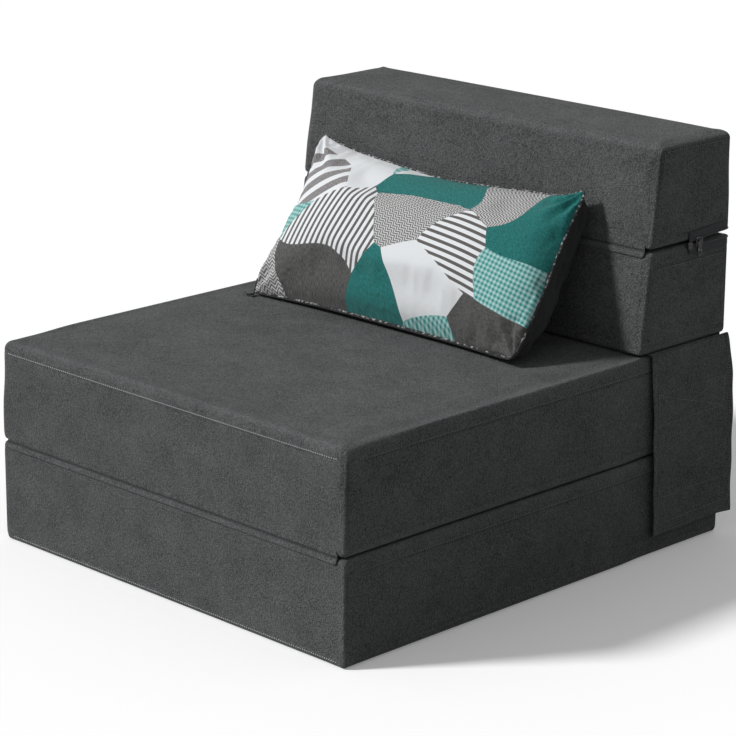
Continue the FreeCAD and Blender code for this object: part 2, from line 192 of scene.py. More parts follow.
def use_group(tree, group, **inputs):
    """The group placed in a material, with its inputs fed by name."""
    node = tree.nodes.new("ShaderNodeGroup")
    node.node_tree = group
    for key, value in inputs.items():
        feed(node.inputs[key.replace("_", " ")], value)
    return Outputs(tree, node)


def new_material(name, **plain):
    """A material, its tree, its shader's inputs and the place in object coordinates.

    The plain numbers go straight onto the shader's sockets.
    """
    material = bpy.data.materials.new(name)
    material.use_nodes = True
    tree = material.node_tree
    inputs = tree.nodes["Principled BSDF"].inputs
    for key, value in plain.items():
        inputs[key.replace("_", " ")].default_value = value
    return material, tree, inputs, add_node(tree, "ShaderNodeTexCoord")["Object"]


def two_tone(name, pattern, dark, light, rough, rougher, relief=0.0, **plain):
    """A material in two tones: the pattern blends them, adds rougher to rough, and raises the surface."""
    material, tree, shader, where = new_material(name, **plain)
    share = pattern(where)
    feed(shader["Base Color"], blend_colours(share, dark, light))
    feed(shader["Roughness"], rough + share * rougher)
    if relief:
        feed(shader["Normal"], bump(share, relief))
    return material


print("helpers ready")

# %% [markdown]
# The object stands on a plain pale floor in a pale room. One broad lamp high on the left front
# stands for the studio's softbox, and the room fills in the rest. The floor and the room show
# nearly white to the camera, and throw back much less light than that, so the side that faces
# away from the lamp stays dark as it does in a large studio.
# %% Studio
half_floor, floor_level = 7.0, -0.0012
floor_mesh = bpy.data.meshes.new("floor")
floor_mesh.from_pydata([(x * half_floor, y * half_floor, floor_level)
                        for x, y in ((-1, -1), (1, -1), (1, 1), (-1, 1))], [], [(0, 1, 2, 3)])
floor = bpy.data.objects.new("floor", floor_mesh)
scene.collection.objects.link(floor)


def seen_by(tree, *kinds):
    """1 for the camera's rays and the other kinds named, and 0 for all others."""
    rays = add_node(tree, "ShaderNodeLightPath")
    shown = rays["Is Camera Ray"]
    for kind in kinds:
        shown = calc("MAXIMUM", shown, rays[kind])
    return shown


floor_paint, tree, shader, _ = new_material("pale_floor", Roughness=0.9, Emission_Strength=1.0)
shown = seen_by(tree, "Is Glossy Ray")
feed(shader["Base Color"], blend_colours(shown, (0.3, 0.3, 0.3), (0.93, 0.93, 0.93)))
feed(shader["Emission Color"], blend_colours(shown, (0.0, 0.0, 0.0), (0.16, 0.16, 0.16)))
floor_mesh.materials.append(floor_paint)

room = bpy.data.worlds.new("pale_room")
scene.world = room
room.use_nodes = True
sky = room.node_tree.nodes["Background"].inputs
room_light, room_shown = 0.30, 0.95
shown = seen_by(room.node_tree, "Is Glossy Ray", "Is Transmission Ray")
feed(sky["Strength"], shown * (room_shown - room_light) + room_light)
feed(sky["Color"], (1.0, 1.0, 1.0, 1.0))

lamp_data = bpy.data.lights.new("softbox", "SUN")
lamp_data.energy = 3.1
lamp_data.angle = math.radians(9.0)
toward_lamp = unit(np.array([-0.47, -0.64, 0.61]))
side = unit(np.cross(z_way, toward_lamp))
lamp = bpy.data.objects.new("softbox", lamp_data)
put(lamp, (side, np.cross(toward_lamp, side), toward_lamp), toward_lamp * 4.0)
scene.view_settings.view_transform = "Standard"
print("studio: room", room_light, "lamp", lamp_data.energy)

# %% [markdown]
# Every surface below is a grid of points worked out as one array. These helpers turn such
# grids into a mesh: they make the quads, weld the points that grids share along a seam, and
# check by the signed volume that the faces of a closed shape point outwards.
# %% Mesh helpers
def grid_faces(rows, columns, wrap=False, closed=False):
    """Quads between neighbouring points of a grid, wrapped round its columns, and closed from end to end."""
    index = np.arange(rows * columns).reshape(rows, columns)
    if closed:
        index = np.vstack([index, index[:1]])
    if wrap:
        index = np.hstack([index, index[:, :1]])
    quads = np.stack([index[:-1, :-1], index[:-1, 1:], index[1:, 1:], index[1:, :-1]], axis=-1)
    return quads.reshape(-1, 4)


def weld(points, faces, step=1e-6):
    """Points in the same cell of a micrometre grid become one."""
    cells = np.round(points / step).astype(np.int64)
    _, first, index = np.unique(cells, axis=0, return_index=True, return_inverse=True)
    return points[first], index.reshape(-1)[faces], first


def outward(points, faces):
    """Turns the quads over where the volume, the sum of a . (b x c) over the fan of each, is negative."""
    a, b, c, d = (points[faces[:, k]] for k in range(4))
    volume = np.einsum("ij,ij->i", a, np.cross(b, c)).sum() + np.einsum("ij,ij->i", a, np.cross(c, d)).sum()
    return faces if volume > 0 else faces[:, ::-1]


def make_piece(name, points, faces, material=None, ends=()):
    """A smooth mesh object at the origin, from quads and any faces that close its ends."""
    mesh = bpy.data.meshes.new(name)
    mesh.from_pydata(points.tolist(), [], faces.tolist() + [list(end) for end in ends])
    mesh.polygons.foreach_set("use_smooth", np.ones(len(mesh.polygons), dtype=bool))
    if material:
        mesh.materials.append(material)
    piece = bpy.data.objects.new(name, mesh)
    scene.collection.objects.link(piece)
    return piece


def two_layers(name, first, second, material):
    """A closed piece from two grids of the same size, joined by a wall along their outline."""
    rows, columns = first.shape[:2]
    count = rows * columns
    quads = grid_faces(rows, columns)
    index = np.arange(count).reshape(rows, columns)
    ring = np.concatenate([index[0], index[1:, -1], index[-1, -2::-1], index[-2:0:-1, 0]])
    after = np.roll(ring, -1)
    wall = np.stack([ring, ring + count, after + count, after], axis=1)
    points = np.concatenate([first.reshape(-1, 3), second.reshape(-1, 3)])
    faces = outward(points, np.concatenate([quads, quads[:, ::-1] + count, wall]))
    return make_piece(name, points, faces, material)


def read_array(items, name):
    """Three numbers of every point, as one array."""
    flat = np.zeros(len(items) * 3, dtype=np.float32)
    items.foreach_get(name, flat)
    return flat.reshape(-1, 3).astype(float)


def set_points(mesh, points):
    """Moves a mesh's points."""
    mesh.vertices.foreach_set("co", points.astype(np.float32).ravel())
    mesh.update()


def seam_shade_and_rub_numbers(mesh, seam, rub):
    """How deep in a seam each point is, which the material turns into painted shade, and how near a rubbed
    edge, for the material to read.
    """
    for name, values in (("seam", seam), ("rub", rub)):
        layer = mesh.attributes.new(name, "FLOAT", "POINT")
        layer.data.foreach_set("value", values.astype(np.float32))


def smooth_levels(piece, levels=1):
    """A Subdivision Surface with the same level shown and rendered."""
    finish = piece.modifiers.new("smooth", "SUBSURF")
    finish.levels = levels
    finish.render_levels = levels


def eased(value, start, end):
    """0 before start, 1 after end, and 3t^2 - 2t^3 between them."""
    t = np.clip((value - start) / (end - start), 0.0, 1.0)
    return t * t * (3.0 - 2.0 * t)


def dip(value, at, wide):
    """A bell curve: exp(-((value - at) / wide)^2)."""
    return np.exp(-((value - at) / wide) ** 2)


def box_of(node):
    """The two corners of a CAD node's box."""
    return [np.array(corner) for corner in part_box(node)]


def straight(x, y, z):
    """Points along a straight line, from coordinates that are arrays or single numbers."""
    return np.stack(np.broadcast_arrays(x, y, z), axis=1)


def belongs(piece, body, stands_for=None):
    """Says which body carries a piece and which CAD node it takes the place of."""
    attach(piece, body)
    if stands_for:
        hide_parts(stands_for)


print("mesh helpers ready")

# %% [markdown]
# The covers are a brushed, suede-like charcoal fabric. Close up it is a fine speckle of lighter
# and darker fibre tips, and from further off the nap lies in soft cloudy patches. One group
# gives both from noise on object coordinates, so the nap never stretches. A second group
# lightens the cloth where it is rubbed and darkens it down in the seams as painted shade,
# from a number that each cover's points carry.
# %% Fabric groups and the cover fabric
nap, ins, outs = new_group(
    "brushed_nap",
    [("Vector", "Vector", None), ("Speckle Scale", "Float", 560.0), ("Cloud Scale", "Float", 16.0)],
    [("Speckle", "Float"), ("Cloud", "Float"), ("Height", "Float")])
speckle = noise(ins["Vector"], ins["Speckle Scale"], 1.0, 0.6)
fibre = noise(ins["Vector"], ins["Speckle Scale"] * 0.55, 2.0, 0.7)
cloud = noise(ins["Vector"], ins["Cloud Scale"], 3.0, 0.62)
fine_cloud = noise(ins["Vector"], ins["Cloud Scale"] * 5.0, 2.0, 0.6)
feed(outs["Speckle"], speckle * 0.55 + fibre * 0.45)
feed(outs["Cloud"], cloud * 0.7 + fine_cloud * 0.3)
feed(outs["Height"], speckle + fibre * 0.35)

seam_shade_and_rub, ins, outs = new_group(
    "painted_seam_shade_and_rub",
    [("Color", "Color", (0.1, 0.1, 0.1, 1)), ("Seam", "Float", 0.0), ("Rub", "Float", 0.0),
     ("Seam Darkness", "Float", 0.8), ("Rub Lightness", "Float", 0.10)],
    [("Color", "Color")])
# Seam blends the colour towards near black, which is painted shade in the seam grooves. Rub lightens it where
# the cloth is rubbed.
lighter = blend_colours(ins["Rub"] * ins["Rub Lightness"], ins["Color"], (0.32, 0.34, 0.35))
feed(outs["Color"], blend_colours(ins["Seam"] * ins["Seam Darkness"], lighter, (0.012, 0.012, 0.013)))


def brushed_cloth(name, dark, light, speckle_scale=560.0, cloud_scale=16.0, rough=0.93):
    """A brushed cloth between two tones, with painted shade in its seams and its edges rubbed."""
    material, tree, shader, where = new_material(name, Sheen_Weight=0.10, Sheen_Roughness=0.5,
                                                 Specular_IOR_Level=0.15)
    grain = use_group(tree, nap, Vector=where, Speckle_Scale=speckle_scale, Cloud_Scale=cloud_scale)
    tips = spread(grain["Speckle"], 0.40, 0.60)
    cloth = blend_colours(tips * 0.70 + spread(grain["Cloud"], 0.34, 0.66) * 0.30, dark, light)
    seam, rub = (add_node(tree, "ShaderNodeAttribute", attribute_name=word)["Fac"] for word in ("seam", "rub"))
    feed(shader["Base Color"], use_group(tree, seam_shade_and_rub, Color=cloth, Seam=seam, Rub=rub)["Color"])
    feed(shader["Roughness"], rough - tips * 0.06)
    feed(shader["Normal"], bump(grain["Height"], 0.0042))
    return material


cover_cloth = brushed_cloth("cover_fabric", (0.024, 0.026, 0.0265), (0.146, 0.152, 0.152))
print("materials:", cover_cloth.name)

# %% [markdown]
# Each cover is sewn from a front, a top and a rear panel, and two side panels that are set in
# with a seam all round. Foam fills it, so it is nearly a box with soft edges, a slight crown
# and drawn-in seams. A cube mesh with a bevel would give one even radius. Here the box is six
# grids whose lines crowd together near the edges and at the seams, and each point is eased
# round by its own radius, so that a free edge is rounder than one at a hinge.
# %% Box grid of a block
near_steps = np.array([0.0, 0.0022, 0.0048, 0.0080, 0.0118, 0.0162, 0.0215, 0.0280, 0.0360])
seam_half = 0.0017
pitch_of_grid = 0.016


def side_lines(low, high, seams=()):
    """Grid lines from low to high: close near both ends, even in the middle, three at each seam."""
    middle = np.linspace(low + near_steps[-1], high - near_steps[-1],
                         max(int((high - low - 2 * near_steps[-1]) / pitch_of_grid), 2) + 1)
    lines = np.concatenate([low + near_steps, high - near_steps, middle])
    for seam in (seam for seam in seams if seam > 0.0):
        lines = lines[np.abs(lines - seam) > 2.2 * seam_half]
        lines = np.concatenate([lines, [seam - seam_half, seam, seam + seam_half]])
    return np.unique(np.round(lines, 7))


def box_grids(xs, ys, zs):
    """The six faces of a box as welded grids over the three sets of lines."""
    lines = (xs, ys, zs)
    points, faces, count = [], [], 0
    for axis in range(3):
        u, v = [k for k in range(3) if k != axis]
        for end in (0, -1):
            a, b = np.meshgrid(lines[u], lines[v], indexing="ij")
            grid = np.zeros(a.shape + (3,))
            grid[..., u], grid[..., v], grid[..., axis] = a, b, lines[axis][end]
            quads = grid_faces(*a.shape)
            flip = (end == 0) == (axis == 1)
            faces.append((quads[:, ::-1] if flip else quads) + count)
            points.append(grid.reshape(-1, 3))
            count += a.size
    return weld(np.concatenate(points), np.concatenate(faces))[:2]


def ease_edges(points, low, high, radius):
    """Moves a box's points onto rounded edges.

    A point keeps its direction from the nearest point of the box shrunk by its radius, and
    stands exactly one radius from it.
    """
    r = radius[:, None]
    core = np.clip(points, low + r, high - r)
    reach = points - core
    return core + r * reach / np.maximum(np.linalg.norm(reach, axis=1, keepdims=True), 1e-9)


test_points, test_faces = box_grids(*(side_lines(-0.1, 0.1),) * 3)
faces_out = bool((outward(test_points, test_faces) == test_faces).all())
print("test box:", len(test_points), "points, outward:", faces_out)

# %% [markdown]
# Cloth simulation puffs each cover out. The shell starts as the bare form, and Blender's Cloth
# blows it up from inside with gravity off while its threads resist stretching, which pulls the
# edges in and crowns the panels. The move of each point is then capped, because foam holds a
# cover to its shape: a move of length d becomes cap * tanh(d / cap).
# %% Puffing a shell out as cloth
def puff(piece, pressure, cap, stretch, bend, frames=12, quality=3, inward_cap=0.0010, pinned="", shrink=0.0):
    """A closed shell's points after it is blown up as cloth.

    What is inside holds it up, so no point sinks more than inward_cap, and each move is capped.
    """
    rest, normal = read_array(piece.data.vertices, "co"), read_array(piece.data.vertex_normals, "vector")
    cloth = piece.modifiers.new("cloth", "CLOTH")
    settings = dict(quality=quality, mass=0.3, tension_stiffness=stretch, compression_stiffness=stretch,
                    shear_stiffness=stretch * 0.4, bending_stiffness=bend, use_pressure=True,
                    uniform_pressure_force=pressure, vertex_group_mass=pinned, shrink_min=shrink)
    for name, value in settings.items():
        setattr(cloth.settings, name, value)
    cloth.settings.effector_weights.gravity = 0.0
    cloth.collision_settings.use_collision = False
    cloth.point_cache.frame_start = 1
    cloth.point_cache.frame_end = frames
    for step in range(1, frames + 1):
        scene.frame_set(step)
    shaped = piece.evaluated_get(bpy.context.evaluated_depsgraph_get())
    move = read_array(shaped.data.vertices, "co") - rest
    piece.modifiers.remove(cloth)
    scene.frame_set(1)
    inward = np.minimum((move * normal).sum(axis=1, keepdims=True) + inward_cap, 0.0)
    move = move - inward * normal
    length = np.maximum(np.linalg.norm(move, axis=1, keepdims=True), 1e-9)
    return rest + move * (cap * np.tanh(length / cap) / length)


print("cap 4 mm keeps a 3 mm move at", round(4 * math.tanh(3 / 4), 2), "mm")

# %% [markdown]
# A cover's seams come after the cloth simulation, since a groove this fine would be blown
# flat. Each point still knows where it sat on the plain box, so the distance to a seam is
# exact: the side panel's outline is a rounded rectangle, and its groove is depth * exp(-(d/w)^2)
# along the point's own normal. The same distance gives the material its seam and rub numbers.
# %% Form of a block
proud, sunk_foot, sunk_top = 0.0022, 0.0004, 0.0006     # from the CAD cover's box to this cover's
crisp_edge = 0.0065                                     # least radius of an edge
back_lean = 0.016                                       # how far a back block's front leans
block_forms = {"base": (0.0, 0.0, 0.0), "seat": (0.0, 0.002, 0.007), "back_lower": (back_lean, 0.0, 0.0),
               "back_upper": (back_lean, 0.005, 0.002)}


def outline_distance(u, v, low, high, corner):
    """Distance from points (u, v) to the outline of a rectangle with rounded corners."""
    centre = (np.array(low) + np.array(high)) / 2.0
    half = (np.array(high) - np.array(low)) / 2.0 - corner
    q = np.abs(np.stack([u, v], axis=1) - centre) - half
    outside = np.linalg.norm(np.maximum(q, 0.0), axis=1)
    return np.abs(outside + np.minimum(q.max(axis=1), 0.0) - corner)


def wander(points, seed, size, count=7):
    """A soft unevenness: the mean of a few sine waves of random direction, size metres high."""
    rng = np.random.default_rng(seed)
    total = np.zeros(len(points))
    for _ in range(count):
        wave = rng.normal(size=3) * rng.uniform(9.0, 26.0)
        total += np.sin(points @ wave + rng.uniform(0.0, 2.0 * math.pi))
    return size * total / math.sqrt(count)


def pressed(value, limit, give=0.0010):
    """Holds a value under a limit: past limit - give it bends over as give * tanh, as against a neighbour."""
    start = limit - give
    return np.where(value > start, start + give * np.tanh((value - start) / give), value)


def block_form(low, high, flat, lean, top_free, front_free):
    """A block's points: the box with eased edges, its front face leaning back by `lean` at the top.

    The radius is crisp_edge, plus top_free in the upper half, plus front_free at the upper front.
    The base and the seat are a little narrower under the flaps.
    """
    share = (flat[:, 2] - low[2]) / (high[2] - low[2])
    tall = eased(share, 0.3, 0.7)
    fore = 1.0 - eased(flat[:, 1], low[1] + 0.05, low[1] + 0.13)
    points = ease_edges(flat, low, high, crisp_edge + top_free * tall + front_free * tall * fore)
    points[:, 1] += lean * share * (high[1] - flat[:, 1]) / (high[1] - low[1])
    beside_flap = 1.0 - 0.0024 / high[0] * eased(flat[:, 1], 0.165, 0.212)
    points[:, 0] *= beside_flap if high[0] > 0.350 else 1.0
    return points


print("forms of", list(block_forms))

# %% Cover of a block
lower_seam = 0.010                                      # height of the side panel's lower seam
groove_wide, groove_deep = 0.0016, 0.0011
ridge_at, ridge_wide, ridge_high = 0.0050, 0.0030, 0.0004
rub_wide, uneven_high, stitch_deep = 0.006, 0.0011, 0.0013
front_room, rear_room = 0.0011, 0.0002                  # how far the front and the rear may rise
widest_side = 0.3560                                    # base and seat may bulge this far


def block_cover(block, seed, panel_drop, top_room, stitch_height):
    """The cover of one block: box grids, eased edges, puffed cloth, then seams.

    panel_drop is how far the side panel's seam lies under the top, and top_room how far the top may
    rise. The front, the rear and what is under a flap stay flat, because the blocks fold against
    each other there. The other sides of the base and the seat bulge a little.
    """
    lean = block_forms[block][0]
    box_low, box_high = box_of(block + "_cover")
    swell = proud if lean == 0.0 else 0.0
    low = box_low - swell * (x_way + y_way) + sunk_foot * z_way
    high = box_high + swell * x_way - sunk_top * z_way
    drop, lift = high[2] - panel_drop, low[2] + lower_seam
    flat, faces = box_grids(side_lines(low[0], high[0]), side_lines(low[1], high[1]),
                            side_lines(low[2], high[2], (drop, lift, stitch_height)))
    shape = block_form(low, high, flat, *block_forms[block])
    piece = make_piece(block + "_cover_cloth", shape, faces, cover_cloth)
    mesh = piece.data
    set_points(mesh, puff(piece, pressure=3.0, cap=0.0045, stretch=25.0, bend=2.0))
    points, normal = read_array(mesh.vertices, "co"), read_array(mesh.vertex_normals, "vector")
    inner = np.minimum(np.abs(flat - low), np.abs(high - flat))
    from_edge = np.sort(inner, axis=1)[:, 1]
    points += normal * (wander(flat, seed, uneven_high) * eased(from_edge, 0.0, 0.06))[:, None]
    on_side = (inner[:, 0] < 1e-5).astype(float)
    ring = outline_distance(flat[:, 1], flat[:, 2], (low[1] + near_steps[2], lift),
                            (high[1] - near_steps[2], drop), corner=0.006)
    groove = (0.25 + 0.35 * eased(flat[:, 2], lift, drop)) * on_side * dip(ring, 0.0, groove_wide)
    ridge = on_side * dip(ring, ridge_at, ridge_wide)
    points += normal * (ridge_high * ridge - groove_deep * groove)[:, None]
    front_line = dip(flat[:, 2], stitch_height, groove_wide) * (flat[:, 1] < low[1] + 1e-5)
    share = np.clip((points[:, 2] - low[2]) / (high[2] - low[2]), 0.0, 1.0)
    front_plane = box_low[1] + lean * share - front_room
    points[:, 1] = -pressed(-points[:, 1], -front_plane) + stitch_deep * front_line
    points[:, 1] = pressed(points[:, 1], box_high[1] + rear_room)
    widest = widest_side - (widest_side - box_high[0] + 0.0002) * eased(points[:, 1], 0.165, 0.206)
    points[:, 0] = np.sign(points[:, 0]) * pressed(np.abs(points[:, 0]), widest)
    points[:, 2] = np.clip(pressed(points[:, 2], box_high[2] + top_room), box_low[2], None)
    set_points(mesh, points)
    # The seam number paints shade into the side panels' seam grooves, and the rub number lightens the rubbed
    # edges.
    seam_shade_and_rub_numbers(mesh, groove, dip(from_edge, 0.0, rub_wide))
    smooth_levels(piece)
    belongs(piece, block, block + "_cover")
    print(piece.name, len(points), "points, from", points.min(0).round(4), "to", points.max(0).round(4))
    return piece


covers = {block: block_cover(block, *numbers) for block, numbers in {
    "base": (11, 0.017, 0.0, 0.0062), "seat": (12, 0.017, 0.0020, 0.2815),
    "back_lower": (13, 0.023, 0.0, -1.0), "back_upper": (14, 0.009, 0.0008, -1.0)}.items()}

# %% [markdown]
# Inside each cover is a block of cut foam, pale and open-celled. It can't be seen while the
# zip is shut, but it is a separate piece, so it gets its own mesh: the cover's form, a little
# smaller, and a skin pitted by a cell pattern.
# %% Foam blocks
foam_stuff = two_tone("foam", lambda where: cell_distance(where, 700.0), (0.44, 0.39, 0.25),
                      (0.80, 0.74, 0.56), 0.85, 0.1, 0.0005, Sheen_Weight=0.1, Specular_IOR_Level=0.2)
foam_inset = 0.0030


def foam_block(block):
    """Cut foam: the cover's own form, a little smaller."""
    low, high = box_of(block + "_foam")
    low, high = low + foam_inset, high - foam_inset
    lines = [np.unique(np.concatenate([np.linspace(low[k], high[k], 16), low[k] + near_steps[:8],
                                       high[k] - near_steps[:8]])) for k in range(3)]
    flat, faces = box_grids(*lines)
    shape = block_form(low, high, flat, *block_forms[block])
    piece = make_piece(block + "_foam_block", shape, faces, foam_stuff)
    belongs(piece, block, block + "_foam")
    return piece


for block in block_forms:
    print(foam_block(block).name)

# %% [markdown]
# Stitches, strips and zips lie on the covers as they came out of the simulation, so they have
# to be measured, not guessed. A ray sent at the finished cover gives the point where it lands
# and the way the cloth faces there.
# %% Measuring a finished surface
from mathutils.bvhtree import BVHTree


def land_on(surface, starts, way):
    """Where rays from the starts land on the surface, and the normals there."""
    hits = [surface.ray_cast(start.tolist(), way) for start in starts]
    missed = sum(hit[0] is None for hit in hits)
    if missed:
        print("rays that missed:", missed)
    return tuple(np.array([hit[k] for hit in hits if hit[0] is not None]) for k in (0, 1))


surfaces = {block: BVHTree.FromObject(piece, bpy.context.evaluated_depsgraph_get())
            for block, piece in covers.items()}
seat_front, _ = land_on(surfaces["seat"], np.array([[0.0, -1.0, 0.22]]), (0, 1, 0))
print("seat front at the middle:", seat_front.round(4))

# %% [markdown]
# A row of topstitching is a string of short thread loops that sink into the cloth at both
# ends. One stitch is a small spindle: rings of six points whose radius is the root of a sine.
# Copies of it are set along the row as one array, each turned to the row's own direction and
# the cloth's normal.
# %% Stitches
def thread(name, dark, light):
    """Sewing thread in two tones of its ply."""
    return two_tone(name, lambda where: noise(where, 1500.0, 1.0), dark, light, 0.6, 0.25,
                    Sheen_Weight=0.2, Specular_IOR_Level=0.3)


thread_pale = thread("topstitch_thread", (0.42, 0.43, 0.435), (0.74, 0.75, 0.76))
thread_dark = thread("seam_thread", (0.14, 0.145, 0.147), (0.38, 0.39, 0.395))
hands = (("right", 1.0), ("left", -1.0))


def stitch_shape(length, thick, rings=5, sides=6):
    """One stitch as rings of points: radius = thick/2 * sin^0.5, along a line of the given length."""
    t = np.linspace(0.04, 0.96, rings)[:, None]
    turn = np.linspace(0.0, 2.0 * math.pi, sides, endpoint=False)[None, :]
    radius = 0.5 * thick * np.sin(math.pi * t) ** 0.5
    along = (t - 0.5) * length + 0.0 * turn
    shape = np.stack([along, radius * np.cos(turn), radius * np.sin(turn)], axis=-1).reshape(-1, 3)
    ends = np.stack([np.arange(sides)[::-1], np.arange((rings - 1) * sides, rings * sides)])
    return shape, grid_faces(rings, sides, wrap=True), ends


def stitch_row(name, places, normals, length, thick, material, body):
    """Stitches set along a row of places, each pointing to the next place."""
    way = unit(np.gradient(places, axis=0))
    across = unit(np.cross(normals, way))
    shape, quads, ends = stitch_shape(length, thick)
    turned = np.stack([way, across, np.cross(way, across)], axis=1)
    points = places[:, None, :] + np.einsum("ij,njk->nik", shape, turned)
    first_points = np.arange(len(places))[:, None, None] * len(shape)
    piece = make_piece(name, points.reshape(-1, 3), (quads + first_points).reshape(-1, 4), material,
                       (ends + first_points).reshape(-1, ends.shape[1]))
    belongs(piece, body)
    print(name, len(places), "stitches")


def row_on(surface, start, end, way, off=0.0, pitch=0.0041):
    """Places every pitch along a straight row, cast onto the surface, and their normals."""
    start, end = np.array(start), np.array(end)
    count = max(int(np.linalg.norm(end - start) / pitch), 2)
    places, normals = land_on(surface, start + np.linspace(0.0, 1.0, count)[:, None] * (end - start), way)
    return places + normals * off, normals


for block, height, thick in (("seat", 0.2815, 0.0018), ("base", 0.0062, 0.0015)):
    row = row_on(surfaces[block], (-0.332, -0.6, height), (0.334, -0.6, height), (0, 1, 0), 0.0001)
    stitch_row(block + "_topstitch", *row, 0.0019, thick, thread_pale, block)
side_rows = {"base": (0.1285, -0.366), "seat": (0.2785, -0.366), "back_lower": (0.4225, 0.226),
             "back_upper": (0.5865, 0.240)}
for block, (height, ahead) in side_rows.items():
    for word, hand in hands:
        row = row_on(surfaces[block], (hand, ahead, height), (hand, 0.366, height), (-hand, 0, 0))
        stitch_row("%s_%s_seam_stitches" % (block, word), *row, 0.0022, 0.0010, thread_dark, block)

# %% [markdown]
# A strip, a tape or a piped edge is one profile carried along a path. The path gives a point
# for each step, with two directions across it, and the profile is a closed loop in those two
# directions, so all the points come from one outer product. Both ends are closed by a face.
# %% Profiles carried along a path
def swept(name, path, across, over, profile, material):
    """A closed profile carried along a path: path + p0 * across + p1 * over, with both ends closed."""
    sideways, outwards = profile[None, :, :1], profile[None, :, 1:]
    points = path[:, None, :] + sideways * across[:, None, :] + outwards * over[:, None, :]
    n, m = len(path), len(profile)
    points = points.reshape(-1, 3)
    quads = grid_faces(n, m, wrap=True)
    turned = outward(points, quads)
    ends = np.stack([np.arange(m)[::-1], np.arange((n - 1) * m, n * m)])
    return make_piece(name, points, turned, material, ends if turned is quads else ends[:, ::-1])


def closed_profile(u, outer):
    """A section from its height over each place u across, closed along its flat underside."""
    return np.concatenate([np.stack([u, outer], 1), np.stack([u[::-1], np.zeros(len(u))], 1)])


def ribbon_profile(half, thick, steps, seam=None):
    """A flat ribbon's section, thin at both edges, with a groove at its seam if it has one."""
    u = np.linspace(-half, half, steps)
    outer = thick - (0.0003 * dip(u, seam, 0.0012) if seam else 0.0)
    return closed_profile(u, outer * np.clip((half - np.abs(u)) / 0.0012, 0.25, 1.0))


def circle(radius, sides, first=0.0):
    """Points round a circle."""
    turn = np.linspace(0.0, 2.0 * math.pi, sides, endpoint=False) + first
    return radius * np.stack([np.cos(turn), np.sin(turn)], axis=1)


def same_way(vector, count):
    """One direction for every step of a path."""
    return np.tile(vector, (count, 1))


print("sweeping ready")

# %% [markdown]
# The strips between the blocks are the same cloth as the covers, sewn flat to both. When a
# block turns over, the strip bends in the middle. Here each strip is laid once, in its place at
# rest. The front one shows as a pale swollen band with a crease at the seat's foot and a dark
# seam under it.
# %% Hinge strips
strip_steps = 90
reach = 0.3385                                          # half the strip's length
strip_half, crease_wide = 0.0112, 0.0018
ray_drop, ray_span, bend_half = 0.011, 0.022, 0.009


def strip_profile():
    """The strip's section: a swollen lower half, a crease at u = 0, and an upper half that thins out."""
    u = np.linspace(-strip_half, strip_half, 23)
    lower = 0.0022 * np.clip((u + strip_half) / 0.0015, 0.2, 1.0)
    upper = 0.0012 * (1.0 - 0.85 * eased(u, 0.0, strip_half))
    return closed_profile(u, np.where(u < 0.0, lower, upper) - 0.0018 * dip(u, 0.0, crease_wide))


def hinge_strip(word, z_joint, bodies, facing):
    """A cloth strip over the joint at z_joint, laid where rays from the front (-1) or the rear (1) land."""
    x = np.linspace(-reach, reach, strip_steps)
    starts = straight(x, facing, z_joint - ray_drop)
    below, _ = land_on(surfaces[bodies[0]], starts, (0, -facing, 0))
    above, _ = land_on(surfaces[bodies[1]], starts + ray_span * z_way, (0, -facing, 0))
    middle = (below + above) / 2.0
    over = same_way(facing * y_way, strip_steps)
    profile = strip_profile()
    piece = swept(word + "_hinge_cloth", middle + over * 0.0001, unit(above - below), over, profile,
                  cover_cloth)
    smooth_levels(piece)
    u = profile[:, 0]
    # The seam number paints shade into the crease and along the lower seam, and the rub number makes the
    # swollen lower half lighter.
    seam = np.clip(0.9 * dip(u, -0.0108, 0.0014) + 0.9 * dip(u, 0.0, crease_wide), 0.0, 1.0)
    seam_shade_and_rub_numbers(piece.data, np.tile(seam, strip_steps), np.tile(0.7 * (u < 0.0), strip_steps))
    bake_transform(piece)
    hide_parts(word + "_hinge_strip")
    print(piece.name, "height", round(float(np.linalg.norm(above - below, axis=1).mean()), 4))


hinge_strip("front", 0.150, ("base", "seat"), -1.0)
hinge_strip("rear", 0.300, ("seat", "back_lower"), 1.0)
hinge_strip("head", 0.450, ("back_lower", "back_upper"), -1.0)

# %% [markdown]
# Each side flap hangs from a corded seam under the lower back and holds on by two hook
# patches. Its cloth is a grid between a front edge and a rear edge, both listed, with
# grid lines crowding near the hem. It stands off the block by the patches, flares at the
# free front edge and ripples a little towards the foot.
# %% Side flap surface
flap_near = np.array([0.0, 0.0018, 0.0040, 0.0066, 0.0078, 0.0090, 0.0102, 0.0116, 0.0150])
flap_top, flap_foot = 0.3010, 0.0302
edge_heights = np.array([0.301, 0.290, 0.238, 0.121, 0.030])
rear_edge = np.array([0.3835, 0.3860, 0.3965, 0.3990, 0.4015])
front_edge = np.array([0.2130, 0.2125, 0.2150, 0.2195, 0.2230])


def edges_at(z):
    """Where the flap's front and rear edges are at a height."""
    return np.interp(-z, -edge_heights, front_edge), np.interp(-z, -edge_heights, rear_edge)


